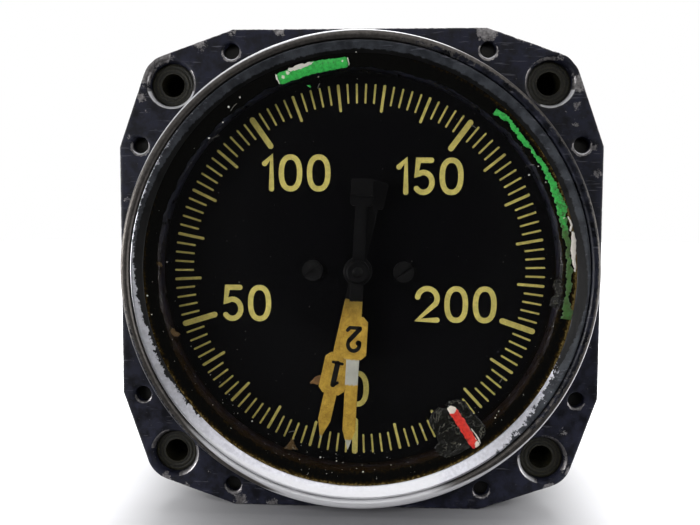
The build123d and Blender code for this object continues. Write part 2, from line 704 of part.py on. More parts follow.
def rotor_core():
    neck = Rectangle(NECK_WIDTH, 2 * ROTOR_R)
    waist = Rectangle(2 * ROTOR_R, 2 * (ROTOR_R - POLE_FACE))
    outline = (Circle(ROTOR_R) - waist) + (neck & Circle(ROTOR_R))
    return slab(outline - Circle(OUTER_SHAFT_R), CORE_START, CORE_END)


def rotor_windings():
    inner = ROTOR_R - POLE_FACE - WINDING_CLEARANCE
    gap = NECK_WIDTH / 2 + WINDING_CLEARANCE
    start = OUTER_SHAFT_R + COIL_TO_SHAFT
    length = CORE_LENGTH + 2 * COIL_LENGTH_OVER
    hole = CORE_LENGTH + 2 * WINDING_CLEARANCE
    coil = Box(2 * COIL_HALF_WIDTH, length, inner - start)
    coil = fillet(coil.edges().filter_by(Axis.Z), COIL_LENGTH_OVER)
    coil -= Box(2 * gap, hole, ROTOR_R)
    coil = Pos(0, CORE_START + CORE_LENGTH / 2, (inner + start) / 2) * coil
    return group(Rot(0, angle, 0) * coil for angle in (0, 180))


def slip_ring_fronts():
    pitch = SLEEVE_LENGTH / 2
    return [SLEEVE_START + (n + 0.5) * pitch - SLIP_RING_WIDTH / 2 for n in range(2)]


def slip_ring_sleeve():
    return ring(OUTER_SHAFT_R, SLEEVE_R, SLEEVE_START, SLEEVE_START + SLEEVE_LENGTH)


def slip_rings():
    return group(
        ring(SLEEVE_R, SLIP_RING_R, front, front + SLIP_RING_WIDTH) for front in slip_ring_fronts()
    )


def brush_block():
    front = CORE_END + WINDING_CLEARANCE + END_TURN_LENGTH + BLOCK_CLEARANCE
    block = slab(Rectangle(*BLOCK_SIZE), front, MOTOR_LENGTH - MOTOR_END_T)
    block = chamfer(block.edges().filter_by(Axis.Z), BLOCK_EDGE)
    start = SLIP_RING_R + BRUSH_CLEARANCE + BRUSH_LENGTH
    return Pos(start + BLOCK_SIZE[0] / 2, 0, 0) * block


def brushes():
    middle = SLIP_RING_R + BRUSH_CLEARANCE + BRUSH_LENGTH / 2
    strip = Box(BRUSH_LENGTH, BRUSH_THICKNESS, BRUSH_WIDTH)
    return group(Pos(middle, y + SLIP_RING_WIDTH / 2, 0) * strip for y in slip_ring_fronts())


def bearing_outer_races():
    """Outer races with the two thin shields that hide the balls."""
    race, shield = BEARING_R - RACE_T, OUTER_SHAFT_R + RACE_T + SHIELD_CLEARANCE
    races = []
    for front in BEARING_FRONTS:
        back = front + BEARING_WIDTH
        races.append(
            turned(
                (BEARING_R, front),
                (BEARING_R, back),
                (shield, back),
                (shield, back - SHIELD_T),
                (race, back - SHIELD_T),
                (race, front + SHIELD_T),
                (shield, front + SHIELD_T),
                (shield, front),
            )
        )
    return group(races)


def bearing_inner_races():
    return group(
        ring(OUTER_SHAFT_R, OUTER_SHAFT_R + RACE_T, front, front + BEARING_WIDTH)
        for front in BEARING_FRONTS
    )


SHAFT_BACK = MOTOR_LENGTH - SHAFT_SHORT


def outer_shaft():
    """The front motor's hollow shaft, which carries pointer 1."""
    front = POINTER_1_FRONT - HUB_1_STEP - PLATE_BACK
    return ring(INNER_SHAFT_R + SHAFT_CLEARANCE, OUTER_SHAFT_R, front, SHAFT_BACK)


def inner_shaft():
    """The rear motor's shaft, which runs through the hollow one and carries pointer 2."""
    tip = POINTER_2_FRONT - HUB_2_STEP - SHAFT_TIP - REAR_MOTOR_FRONT
    shoulder = -SHAFT_SHOULDER
    return turned(
        (0, tip),
        (INNER_SHAFT_R - SHAFT_EDGE, tip),
        (INNER_SHAFT_R, tip + SHAFT_EDGE),
        (INNER_SHAFT_R, shoulder),
        (OUTER_SHAFT_R, shoulder),
        (OUTER_SHAFT_R, SHAFT_BACK),
        (0, SHAFT_BACK),
    )


MOTOR_PIECES = {
    "housing": motor_housing,
    "end_bell": motor_end_bell,
    "stator_core": stator_core,
    "stator_winding": stator_winding,
    "rotor_core": rotor_core,
    "rotor_windings": rotor_windings,
    "slip_ring_sleeve": slip_ring_sleeve,
    "slip_rings": slip_rings,
    "brush_block": brush_block,
    "brushes": brushes,
    "bearing_outer_races": bearing_outer_races,
    "bearing_inner_races": bearing_inner_races,
}
TURNING_PIECES = (
    "rotor_core", "rotor_windings", "slip_ring_sleeve", "slip_rings", "bearing_inner_races", "shaft"
)


def motor(name, shaft, front, pointer_angle):
    """All of one motor's pieces, with the turning ones at their pointer's angle."""
    pieces = {}
    for piece, make in {**MOTOR_PIECES, "shaft": shaft}.items():
        turn = Rot(0, pointer_angle, 0) if piece in TURNING_PIECES else Rot(0, 0, 0)
        pieces[f"{name}_motor_{piece}"] = Pos(0, front, 0) * turn * make()
    return pieces


# Receptacle at the rear

def receptacle_gasket():
    outline = RectangleRounded(SHELL_FLANGE, SHELL_FLANGE, SHELL_FLANGE_CORNER)
    outline -= Circle(SHELL_BORE_R + REAR_HOLE_MARGIN)
    for x, z in receptacle_screw_places():
        outline -= Pos(x, z) * Circle(RECEPTACLE_SCREW_R + FREE_CLEARANCE)
    return slab(outline, CASE_BACK, SHELL_SEAT)


def receptacle_shell():
    flange = RectangleRounded(SHELL_FLANGE, SHELL_FLANGE, SHELL_FLANGE_CORNER)
    for x, z in receptacle_screw_places():
        flange -= Pos(x, z) * Circle(RECEPTACLE_SCREW_R + FREE_CLEARANCE)
    shell = slab(flange, SHELL_SEAT, SHELL_FLANGE_BACK)
    barrel = rod(SHELL_R, SHELL_SEAT, SHELL_MOUTH)
    shell += chamfer(barrel.edges().sort_by(Axis.Y)[-1], SHELL_EDGE)
    shell -= rod(SHELL_BORE_R, SHELL_SEAT - PAST, SHELL_MOUTH + PAST)
    key = Pos(0, SHELL_BORE_R - KEY_HEIGHT / 2) * Rectangle(KEY_WIDTH, KEY_HEIGHT + PAST)
    return shell + slab(key, SHELL_MOUTH - INSULATOR_DEPTH, SHELL_MOUTH - SHELL_EDGE)


def pin_places():
    outer = ring_of_places(SHELL_BORE_R - PIN_INSET, [n * 360 / OUTER_PINS for n in range(OUTER_PINS)])
    inner = ring_of_places(INNER_PIN_CIRCLE, [90 + n * 360 / INNER_PINS for n in range(INNER_PINS)])
    return outer + inner


def receptacle_insert():
    radius = SHELL_BORE_R - INSULATOR_CLEARANCE
    insert = rod(radius, CASE_INNER_BACK, SHELL_MOUTH - INSULATOR_DEPTH)
    for x, z in pin_places():
        insert -= rod(PIN_R, CASE_INNER_BACK - PAST, SHELL_MOUTH, x, z)
    return insert


def receptacle_pins():
    pin = rod(PIN_R, CASE_INNER_BACK - PIN_TAIL, SHELL_MOUTH - PIN_DEPTH)
    pin = chamfer(pin.edges().sort_by(Axis.Y)[-1], PIN_EDGE)
    return group(Pos(x, 0, z) * pin for x, z in pin_places())


def receptacle_screws():
    shank = SHELL_FLANGE_BACK - CASE_INNER_BACK - RECEPTACLE_SCREW_SHORT
    screw = headed_screw(RECEPTACLE_SCREW_R, shank, RECEPTACLE_HEAD_R, RECEPTACLE_HEAD, SCREW_TURN)
    places = receptacle_screw_places()
    return group(facing_rear(place, SHELL_FLANGE_BACK) * screw for place in places)


pointer_1_turn = Rot(0, POINTER_1_ANGLE, 0)
pointer_2_turn = Rot(0, POINTER_2_ANGLE, 0)

parts = {
    "front_flange": front_flange(),
    "mounting_inserts": mounting_inserts(),
    "flange_screws": flange_screws(),
    "glass_retaining_ring": glass_retaining_ring(),
    "glass_sealant": glass_sealant(),
    "cover_glass": cover_glass(),
    "glass_gasket": glass_gasket(),
    "case_gasket": case_gasket(),
    "case_body": case_body(),
    "dial": dial(),
    "dial_screws": dial_screws(),
    "pointer_1": pointer_1_turn * pointer_1_blade(),
    "pointer_1_counterweight": pointer_1_turn * pointer_1_counterweight(),
    "pointer_2": pointer_2_turn * pointer_2_blade(),
    "pointer_2_counterweight": pointer_2_turn * pointer_2_counterweight(),
    "mechanism_plate": mechanism_plate(),
    "plate_screws": plate_screws(),
    "frame_posts": frame_posts(),
    "rear_plate": rear_plate(),
    "rear_plate_screws": rear_plate_screws(),
    "receptacle_gasket": receptacle_gasket(),
    "receptacle_shell": receptacle_shell(),
    "receptacle_insert": receptacle_insert(),
    "receptacle_pins": receptacle_pins(),
    "receptacle_screws": receptacle_screws(),
    **motor("front", outer_shaft, PLATE_BACK, POINTER_1_ANGLE),
    **motor("rear", inner_shaft, REAR_MOTOR_FRONT, POINTER_2_ANGLE),
}

os.makedirs("parts", exist_ok=True)
for name, shape in parts.items():
    export_step(shape, f"parts/{name}.step")
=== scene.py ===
"""The looks of a two-pointer torquemeter indicator, round its fixed frame.

Sizes are in millimetres, scaled by MM where a mesh is made. The dial faces -Y, +X is to
its right and +Z is up. Angles of places round the dial run clockwise from the top.
"""
import json
import random
from collections import Counter
from math import asin, atan2, ceil, cos, degrees, exp, hypot, pi, radians, sin, sqrt

import bmesh
import bpy
import numpy as np
from mathutils import Matrix, Vector, noise
from mathutils.geometry import delaunay_2d_cdt


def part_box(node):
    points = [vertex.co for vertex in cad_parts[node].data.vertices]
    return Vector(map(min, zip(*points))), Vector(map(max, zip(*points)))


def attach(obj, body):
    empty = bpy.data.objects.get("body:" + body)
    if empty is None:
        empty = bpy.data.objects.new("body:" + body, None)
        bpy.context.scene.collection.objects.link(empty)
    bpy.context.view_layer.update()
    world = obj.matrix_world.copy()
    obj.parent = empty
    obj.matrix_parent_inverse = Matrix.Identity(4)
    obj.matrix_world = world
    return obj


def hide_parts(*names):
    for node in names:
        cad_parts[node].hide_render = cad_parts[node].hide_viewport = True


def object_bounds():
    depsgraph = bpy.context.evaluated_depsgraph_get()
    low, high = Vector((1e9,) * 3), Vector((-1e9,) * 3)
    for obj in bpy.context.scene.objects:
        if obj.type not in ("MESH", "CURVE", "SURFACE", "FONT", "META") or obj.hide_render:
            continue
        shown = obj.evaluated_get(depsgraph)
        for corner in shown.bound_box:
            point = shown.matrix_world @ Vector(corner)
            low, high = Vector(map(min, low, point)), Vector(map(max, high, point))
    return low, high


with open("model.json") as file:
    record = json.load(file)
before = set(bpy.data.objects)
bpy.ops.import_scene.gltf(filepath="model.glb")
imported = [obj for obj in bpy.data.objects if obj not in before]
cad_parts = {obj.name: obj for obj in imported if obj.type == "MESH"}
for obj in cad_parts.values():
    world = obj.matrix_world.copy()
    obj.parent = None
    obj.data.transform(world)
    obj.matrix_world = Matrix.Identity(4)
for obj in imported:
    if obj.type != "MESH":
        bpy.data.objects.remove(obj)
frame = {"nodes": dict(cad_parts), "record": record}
cad_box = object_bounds()

MM = 0.001
CASE = "case"
POINTER_BODIES = {1: "pointer_1_rotor", 2: "pointer_2_rotor"}


def mount(name):
    """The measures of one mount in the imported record."""
    return next(m["dims"] for m in frame["record"]["mounts"] if m["name"] == name)


def low(node):
    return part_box(node)[0] / MM


def high(node):
    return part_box(node)[1] / MM


# Sizes that the frame gives
COLLAR_R = mount("bezel_pilot")["r_mm"]
HOLE_HALF = mount("panel_bolts")["spacing_x_mm"] / 2
FLANGE_HALF = high("front_flange").x
FLANGE_BACK = high("front_flange").y
COLLAR_FRONT = low("front_flange").y
RING_R = high("glass_retaining_ring").x
RING_FRONT = low("glass_retaining_ring").y
RING_INNER_R = high("glass_sealant").x
GLASS_FRONT = low("cover_glass").y
LIP_FRONT = high("glass_gasket").y
DIAL_FRONT = low("dial").y
BLADE_FRONT = {2: high("pointer_2_counterweight").y, 1: low("pointer_1_counterweight").y - 0.5}

# Sizes that the part's source also holds
COLLAR_INNER_R = 37.8
LIP_R = 33.9
COLLAR_EDGE_R = 0.6
SIDE_LENGTH = 42.0
CORNER_R = 5.0
BORE_R = 3.7
SCREW_HOLE_R = 1.35
SCREW_HOLE_CIRCLE = COLLAR_R + 3.25
SCREW_HOLE_ANGLES = (30, 60, 120, 150, 210, 240, 300, 330)
RING_CREST = 0.25
SEALANT_INNER_R = 33.4
SEALANT_FRONT = GLASS_FRONT - 0.2
POINTER_ANGLES = {1: 12.4, 2: 2.9}  # clockwise of straight down
POINTER_PLATES = {1: (14.6, 21.75), 2: (7.65, 15.0)}

# Fineness of the worn surfaces
ROUND_STEPS = 720
OUTLINE_STEP = 0.35
FACE_STEP = 0.42
GRID_JITTER = 0.3  # of a step
GRID_MARGIN = 0.6  # of a step, free of points along a border
EDGE_R = 0.4  # of the flange's worn front edge
ROOT_R = 0.3  # where the collar leaves the flange
RIM = 0.12  # of worn paint round a hole
BORE_CHAMFER = 0.42  # worn a little wider than it was cut

# Dial print
DIVISIONS = 125
DIAL_TURN = 0.73
TICK_OUTER_R = 32.08
TICKS = {25: (25.9, 0.98), 5: (27.5, 0.48), 1: (28.8, 0.33)}  # every: inner radius, width
PRINT_T = 0.03
DIGIT_HEIGHT = 6.4
DIGIT_STROKE = 0.92
DIGIT_GAP = 0.8
DIGIT_WIDTHS = {"0": 4.1, "1": 2.1, "2": 4.3, "5": 3.7}
NUMBERS = {  # left edge and foot of each number on the dial
    "0": (-2.1, -23.9),
    "50": (-23.8, -8.95),
    "100": (-16.75, 13.75),
    "150": (6.5, 13.2),
    "200": (9.9, -8.9),
}

# Camera, fitted to the flange's corners and the ring
CAMERA_PLACE = (2.5, -100.7, 6.8)
CAMERA_PITCH, CAMERA_ROLL, CAMERA_YAW = -2.92, 0.28, 2.15
# Studio: the floor, and how bright the room is from straight ahead of the dial to behind it
FLOOR_SIZE = 3000
FLOOR_FRONT = -16
FLOOR_GLOW = (22, 90)  # where the floor's own white begins and is full
# Middle of the floor's painted shadow
FLOOR_SHADOW_CENTRE = (0.001, 0.0196, 0.0)  # in metres, and flattened as the floor's places are
ROOM = (
    (0, 0.008), (0.0072, 0.01), (0.0115, 0.022), (0.08, 0.03), (0.25, 0.1), (0.5, 0.3), (0.62, 0.9), (1, 0.9),
)
LAMPS = (  # name, place, aim, size and power
    ("back_box", (0, 170, 380), (0, 60, -40), (520, 400), 2.3),
    ("left_box", (-390, -170, 20), (0, 0, 10), (300, 110), 1.5),
    ("right_box", (390, -170, 20), (0, 0, 10), (300, 110), 0.7),
    ("upper_box", (40, -346, 253), (0, 0, 0), (560, 150), 0.55),
)
SENSOR = 36.0
FOCAL_PIXELS, IMAGE_WIDTH = 600, 700

rng = random.Random(7086)


# Small geometry tools

def on_dial(radius, angle):
    """The x and z of a place at an angle clockwise from the top."""
    return radius * sin(radians(angle)), radius * cos(radians(angle))


def polar(x, z):
    """The radius and the clockwise angle of a place on the dial."""
    return hypot(x, z), degrees(atan2(x, z)) % 360


def arc(centre, radii, start, end, steps):
    """Points on an ellipse's arc, its angles anticlockwise from the first axis."""
    turns = [radians(start + (end - start) / steps * n) for n in range(steps + 1)]
    return [(centre[0] + radii[0] * cos(turn), centre[1] + radii[1] * sin(turn)) for turn in turns]


def spaced(start, end, step):
    """Points from start up to, but not with, end, about a step apart."""
    count = max(1, ceil(hypot(end[0] - start[0], end[1] - start[1]) / step))
    return [
        (start[0] + (end[0] - start[0]) * n / count, start[1] + (end[1] - start[1]) * n / count)
        for n in range(count)
    ]


def refined(points, step):
    """The same open line with points no further apart than a step."""
    line = []
    for start, end in zip(points, points[1:]):
        line += spaced(start, end, step)
    return line + [points[-1]]


def curve_at(table, value):
    """A value read off a short table of (place, value) pairs, in straight runs."""
    places, values = zip(*table)
    return float(np.interp(value, places, values))


def clamp(value):
    return max(0.0, min(1.0, value))


def near(distance, reach):
    """From 1 at no distance down towards 0 past a reach."""
    return exp(-((distance / reach) ** 2))


def near_spots(spots):
    """A measure that is high close to any of some (x, z, reach, amount) spots."""
    return lambda x, y, z: max(amount * near(hypot(x - a, z - b), reach) for a, b, reach, amount in spots)


def unit(vectors):
    return vectors / np.linalg.norm(vectors, axis=1)[:, None]


def sideways(vectors):
    """The same vectors, turned a quarter."""
    return np.stack([-vectors[:, 1], vectors[:, 0]], 1)


def ripple(x, y, z, size, seed=0.0):
    """Smooth noise about zero, with features of a size."""
    return noise.noise(Vector((x / size + seed, y / size, z / size)))


def within(places, starts, ends):
    """Which places lie inside a border, given as the starts and ends of its edges."""
    inside = np.zeros(len(places), bool)
    for (x0, z0), (x1, z1) in zip(starts, ends):
        if z0 != z1:
            crossed = (z0 > places[:, 1]) != (z1 > places[:, 1])
            at = x0 + (places[:, 1] - z0) * (x1 - x0) / (z1 - z0)
            inside ^= crossed & (places[:, 0] < at)
    return inside


class Shape:
    """Points in millimetres and the faces between them."""

    def __init__(self):
        self.points, self.faces, self.looks = [], [], []

    def add(self, points, faces, look=0):
        first = len(self.points)
        self.points += points
        self.faces += [tuple(first + n for n in face) for face in faces]
        self.looks += [look] * len(faces)
        return self

    def bridge(self, loops, look=0):
        """Quads between closed loops of as many points each."""
        count = len(loops[0])
        faces = [
            (first + n, first + (n + 1) % count, first + count + (n + 1) % count, first + count + n)
            for first in range(0, (len(loops) - 1) * count, count)
            for n in range(count)
        ]
        return self.add([p for loop in loops for p in loop], faces, look)

    def lathe(self, profile, steps, look=0, closed=True, wobble=None):
        """A surface turned about the dial's axis from a profile of (radius, y) points."""
        rows = profile + profile[:1] if closed else profile
        loops = [[] for _ in rows]
        for n in range(steps):
            angle = 360 * n / steps
            for loop, (radius, y) in zip(loops, rows):
                if wobble:
                    radius, y = wobble(angle, radius, y)
                x, z = on_dial(radius, angle)
                loop.append((x, y, z))
        return self.bridge(loops, look)

    def stroke(self, path, width, front, back, closed=False, cap=6):
        """A flat line of a width along a path of (x, z) points, with round ends."""
        centre = np.array(path, float)
        ahead, behind = np.roll(centre, -1, 0), np.roll(centre, 1, 0)
        if not closed:
            ahead[-1], behind[0] = centre[-1], centre[0]
        entry, leave = centre - behind, ahead - centre
        if not closed:
            entry[0], leave[-1] = leave[0], entry[-1]
        entry, leave = unit(entry), unit(leave)
        along = unit(entry + leave)
        mitre = 1 / np.clip((along * entry).sum(1), 0.7, 1)
        side = sideways(along) * (mitre * width / 2)[:, None]
        left, right = (centre + side).tolist(), (centre - side).tolist()
        if closed:
            left.append(left[0])
            right.append(right[0])
        rows = list(zip(left, right))
        if not closed:
            for spot, way, first in ((centre[0], -leave[0], True), (centre[-1], entry[-1], False)):
                normal = np.array([-way[1], way[0]])
                ends = []
                for n in range(cap, 0, -1):
                    turn = radians(90 * n / cap)
                    reach = spot + way * sin(turn) * width / 2
                    half = normal * cos(turn) * width / 2
                    ends.append(((reach - half).tolist(), (reach + half).tolist()))
                rows = ends + rows if first else rows + [(b, a) for a, b in reversed(ends)]
        levels = (front, front, back, back)
        return self.bridge([[(x, y, z) for (x, z), y in zip((a, b, b, a), levels)] for a, b in rows])

    def sheet(self, loops, y, step=None):
        """A flat face at y inside the first loop of (x, z) points and outside the others."""
        spots, edges = [], []
        for loop in loops:
            first = len(spots)
            spots += [tuple(p) for p in loop]
            edges += [(first + n, first + (n + 1) % len(loop)) for n in range(len(loop))]
        border = np.array(spots)
        starts, ends = border, border[[b for _, b in edges]]
        if step:
            low_corner, high_corner = border.min(0), border.max(0)
            grid = np.array([
                [v + rng.uniform(-GRID_JITTER, GRID_JITTER) * step for v in (x, z)]
                for x in np.arange(low_corner[0], high_corner[0], step)
                for z in np.arange(low_corner[1], high_corner[1], step)
            ])
            grid = grid[within(grid, starts, ends)]
            spots += [tuple(p) for p in grid if np.abs(border - p).max(1).min() > step * GRID_MARGIN]
        found = delaunay_2d_cdt([Vector(p) for p in spots], edges, [], 0, 1e-6)
        flat = np.array([tuple(p) for p in found[0]])
        middles = np.array([flat[list(face)].mean(0) for face in found[2]])
        faces = [tuple(face) for face, kept in zip(found[2], within(middles, starts, ends)) if kept]
        return self.add([(x, y, z) for x, z in flat], faces)


def dress(thing, *materials):
    """Puts materials in an object's slots."""
    slots = thing.data.materials
    for n, material in enumerate(materials):
        if n < len(slots):
            slots[n] = material
        else:
            slots.append(material)


def placed(name, data):
    """A new object in the scene."""
    thing = bpy.data.objects.new(name, data)
    bpy.context.scene.collection.objects.link(thing)
    return thing


def piece(name, shape, materials, slot, body=CASE, replaces=(), smooth=True, **measures):
    """A mesh that rides on a body. A measure is a function of x, y and z, kept at each point."""
    mesh = bpy.data.meshes.new(name)
    mesh.from_pydata([tuple(v * MM for v in p) for p in shape.points], [], shape.faces)
    mesh.polygons.foreach_set("material_index", shape.looks)
    tidy_mesh(mesh)
    thing = placed(name, mesh)
    for key, measure in measures.items():
        values = [measure(*(v.co / MM)) for v in mesh.vertices]
        mesh.attributes.new(key, "FLOAT", "POINT").data.foreach_set("value", values)
    if smooth:
        mesh.shade_smooth()
    dress(thing, *materials)
    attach(thing, body)
    for node in replaces:
        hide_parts(node)


def tidy_mesh(mesh):
    """Joins points that meet, drops loose ones and turns every face outwards."""
    work = bmesh.new()
    work.from_mesh(mesh)
    bmesh.ops.remove_doubles(work, verts=work.verts, dist=MM * 0.001)
    loose = [v for v in work.verts if not v.link_faces]
    bmesh.ops.delete(work, geom=loose, context="VERTS")
    bmesh.ops.recalc_face_normals(work, faces=work.faces)
    work.to_mesh(mesh)
    work.free()


# Materials

def srgb(colour, share=1.0):
    """A linear colour from one in steps of 0 to 255, dimmed or brightened to a share."""
    def channel(value):
        value /= 255
        return value / 12.92 if value <= 0.04045 else ((value + 0.055) / 1.055) ** 2.4
    return tuple(min(1.0, share * channel(value)) for value in colour) + (1.0,)


class Nodes:
    """Adds nodes to a tree. Most calls give the socket that the next one takes."""

    def __init__(self, tree):
        self.tree = tree

    def add(self, kind, **settings):
        node = self.tree.nodes.new("ShaderNode" + kind)
        for key, value in settings.items():
            setattr(node, key, value)
        return node

    def join(self, socket, value):
        """Links or sets a socket. Three numbers on a colour's socket are steps of 0 to 255."""
        if isinstance(value, bpy.types.NodeSocket):
            self.tree.links.new(value, socket)
        elif socket.type == "RGBA" and len(value) == 3:
            socket.default_value = srgb(value)
        else:
            socket.default_value = value

    def fill(self, sockets, values):
        for socket, value in zip(sockets, values):
            self.join(socket, value)

    def math(self, operation, *values):
        node = self.add("Math", operation=operation)
        self.fill(node.inputs, values)
        return node.outputs[0]

    def scale_add(self, value, factor, more):
        return self.math("MULTIPLY_ADD", value, factor, more)

    def vector(self, operation, *values):
        node = self.add("VectorMath", operation=operation)
        self.fill(node.inputs, values)
        return node.outputs["Value" if operation in ("LENGTH", "DISTANCE", "DOT_PRODUCT") else "Vector"]

    def blend_number(self, share, first, second):
        node = self.add("Mix", data_type="FLOAT")
        self.fill((node.inputs[0], node.inputs[2], node.inputs[3]), (share, first, second))
        return node.outputs[0]


class Recipe(Nodes):
    """One material's nodes."""

    def __init__(self, name, **sockets):
        self.material = bpy.data.materials.new(name)
        self.material.use_nodes = True
        super().__init__(self.material.node_tree)
        self.shader = self.tree.nodes["Principled BSDF"]
        self.place = self.add("TexCoord").outputs["Object"]
        self.set(**sockets)

    def set(self, **sockets):
        for key, value in sockets.items():
            self.join(self.shader.inputs[key.replace("_", " ")], value)

    def finish(self, height, depth, normal=None, **sockets):
        """Sets the shader's sockets and its bump, and gives the material."""
        node = self.add("Bump")
        self.fill((node.inputs["Height"], node.inputs["Distance"]), (height, depth * MM))
        if normal:
            self.join(node.inputs["Normal"], normal)
        self.set(Normal=node.outputs[0], **sockets)
        return self.material

    def noise(self, size, detail=4.0, rough=0.55, seed=0.0, place=None):
        node = self.add("TexNoise", noise_dimensions="4D")
        values = {"Vector": place or self.place, "W": seed, "Scale": 1 / (size * MM), "Detail": detail,
                  "Roughness": rough}
        self.fill([node.inputs[key] for key in values], values.values())
        return node.outputs["Fac"]

    def stretched(self, x=1.0, y=1.0, z=1.0):
        return self.vector("MULTIPLY", self.place, (x, y, z))

    def along(self, x, y, z):
        """How far a place is along a direction, in millimetres."""
        return self.vector("DOT_PRODUCT", self.place, (x / MM, y / MM, z / MM))

    def step(self, value, start, end, low_value=0.0, high_value=1.0):
        node = self.add("MapRange", interpolation_type="SMOOTHSTEP")
        keys = ("Value", "From Min", "From Max", "To Min", "To Max")
        self.fill([node.inputs[key] for key in keys], (value, start, end, low_value, high_value))
        return node.outputs[0]

    def blend(self, share, first, second):
        node = self.add("Mix", data_type="RGBA")
        colours = [socket for socket in node.inputs if socket.type == "RGBA"]
        self.fill([node.inputs[0], *colours], (share, first, second))
        return next(socket for socket in node.outputs if socket.type == "RGBA")

    def over(self, colour, tint, value, start, end, most=1.0):
        """A colour with a tint over it where a value has gone from start to end."""
        return self.blend(self.step(value, start, end, 0.0, most), colour, tint)

    def seen(self, strength):
        """A strength for what the camera sees, straight or by metal or glass."""
        path = self.add("LightPath").outputs
        either = self.math("MAXIMUM", path["Is Camera Ray"], path["Is Glossy Ray"])
        return self.math("MULTIPLY", self.math("MAXIMUM", either, path["Is Transmission Ray"]), strength)

    def measure(self, key):
        return self.add("Attribute", attribute_name=key).outputs["Fac"]

    def soft_edges(self, width):
        """The normals of the surface with its edges rounded, and how close an edge is."""
        bevel = self.add("Bevel", samples=6)
        bevel.inputs["Radius"].default_value = width * MM
        flat = self.add("NewGeometry").outputs["Normal"]
        turned = self.vector("DOT_PRODUCT", bevel.outputs[0], flat)
        return bevel.outputs[0], self.step(self.math("SUBTRACT", 1.0, turned), 0.0, 0.2)


# Near white for worn metal at the highest shares: a painted highlight
HIGHLIGHT_WHITE = (232, 232, 236)
PAINT_SPECK, PAINT_SCRATCH = (120, 118, 112), (104, 104, 114)
HAZE_SHARE = 0.1
SOOT = (8, 8, 8)
BLACKENING = (5, 5, 6)
METAL_SHARE = 0.95


def worn_paint(name, paint, metal, chip=0.9, fine=0.22, metal_rough=0.38, paint_rough=0.42, stain=0.45,
               soft=None, sooty=False, dent=0.06, haze=(70, 75, 112)):
    """Paint worn and chipped through to metal by share, with a black smear by soot if sooty. Where share
    passes 0.95 the worn metal turns near white and less metallic, a painted highlight.
    """
    mix = Recipe(name, Specular_IOR_Level=0.22)
    coarse = mix.noise(chip, 6, 0.62)
    grain = mix.noise(fine, 3, seed=2.0)
    share = mix.measure("share")
    # painted highlight: worn metal whitened where share passes 0.95
    painted_highlight = mix.step(share, 0.95, 1.12, 0.0, 0.85)
    normal = None
    if soft:
        normal, rounded = mix.soft_edges(soft)
        share = mix.scale_add(rounded, 0.42, share)
    rough = mix.scale_add(coarse, 0.9, mix.math("MULTIPLY", grain, 0.35))
    bare = mix.step(mix.math("ADD", share, rough), 1.03, 1.12)
    cloud = mix.noise(2.6, 6, 0.7, seed=5.0)
    dusty = tuple((1 - HAZE_SHARE) * a + HAZE_SHARE * b for a, b in zip(srgb(paint), srgb(haze)))
    covered = mix.over(srgb(paint, 0.5), dusty, cloud, 0.38, 0.62)
    covered = mix.over(covered, PAINT_SPECK, mix.noise(0.35, 2, seed=9.0), 0.68, 0.76, 0.3)
    lines = mix.noise(0.45, 2, seed=15.0, place=mix.stretched(0.12, 1, 1.3))
    covered = mix.over(covered, PAINT_SCRATCH, lines, 0.62, 0.7, 0.42)
    if sooty:
        lump = mix.noise(0.7, 6, 0.65, seed=21.0)
        smear = mix.scale_add(lump, 0.9, mix.measure("soot"))
        covered = mix.over(covered, SOOT, smear, 0.88, 1.02)
    tarnished = mix.over(srgb(metal, stain), metal, mix.noise(0.6, 5, seed=12.0), 0.35, 0.7)
    shown = mix.blend(painted_highlight, tarnished, HIGHLIGHT_WHITE)
    cover_rough = mix.step(cloud, 0.35, 0.65, paint_rough - 0.1, paint_rough + 0.14)
    return mix.finish(
        mix.scale_add(bare, -1.0, mix.math("MULTIPLY", grain, 0.3)), dent, normal,
        Base_Color=mix.blend(bare, covered, shown),
        Metallic=mix.math("MULTIPLY", bare, mix.scale_add(painted_highlight, -0.5, 0.85)),
        Roughness=mix.blend_number(bare, cover_rough, metal_rough),
    )


def metal(name, colour, rough=0.35, grain=0.5, dirt=(40, 36, 30), dirt_share=0.35, lines=(1, 1, 1),
          black_before=None):
    """Bare metal with fine tool lines, and dirt in patches, blackened in front of a y."""
    mix = Recipe(name, Metallic=METAL_SHARE)
    normal, rounded = mix.soft_edges(0.12)
    streak = mix.noise(grain, 3, place=mix.stretched(*lines))
    patches = mix.noise(grain * 5, 6, 0.65, seed=3.0)
    bright = mix.blend(streak, srgb(colour, 0.8), colour)
    bright = mix.blend(mix.math("MULTIPLY", rounded, 0.4), bright, srgb(colour, 1.4))
    shown = mix.over(bright, dirt, patches, 0.45, 0.75, dirt_share)
    if black_before is not None:
        front = mix.step(mix.along(0, 1, 0), black_before + 0.3, black_before)
        shown = mix.blend(front, shown, BLACKENING)
        mix.set(Metallic=mix.scale_add(front, -METAL_SHARE, METAL_SHARE))
    smooth = mix.scale_add(streak, 0.22, rough - 0.11)
    return mix.finish(streak, 0.012, normal, Base_Color=shown, Roughness=smooth)


def grimy_brass(name, turning=0.62):
    """Brass under old oil and dirt, turned in rings round each corner's bore."""
    mix = Recipe(name, Specular_IOR_Level=0.25)
    corner = (HOLE_HALF * MM, 0, HOLE_HALF * MM)
    off = mix.vector("SUBTRACT", mix.vector("ABSOLUTE", mix.place), corner)
    away = mix.vector("LENGTH", mix.vector("MULTIPLY", off, (1, 0, 1)))
    rings = mix.math("SINE", mix.math("MULTIPLY", away, 2 * pi / (turning * MM)))
    grime = mix.step(mix.noise(0.9, 6, 0.7), 0.6, 0.8)
    grain = mix.noise(0.3, 5, 0.7, seed=2.0)
    tone = mix.scale_add(rings, 0.06, grain)
    crust = mix.over((4, 4, 3), (42, 40, 27), tone, 0.35, 0.72)
    return mix.finish(
        mix.scale_add(rings, 0.2, grain), 0.12,
        Base_Color=mix.blend(grime, crust, (104, 92, 58)),
        Metallic=mix.math("MULTIPLY", grime, 0.8),
        Roughness=mix.step(grain, 0.3, 0.7, 0.35, 0.6),
    )


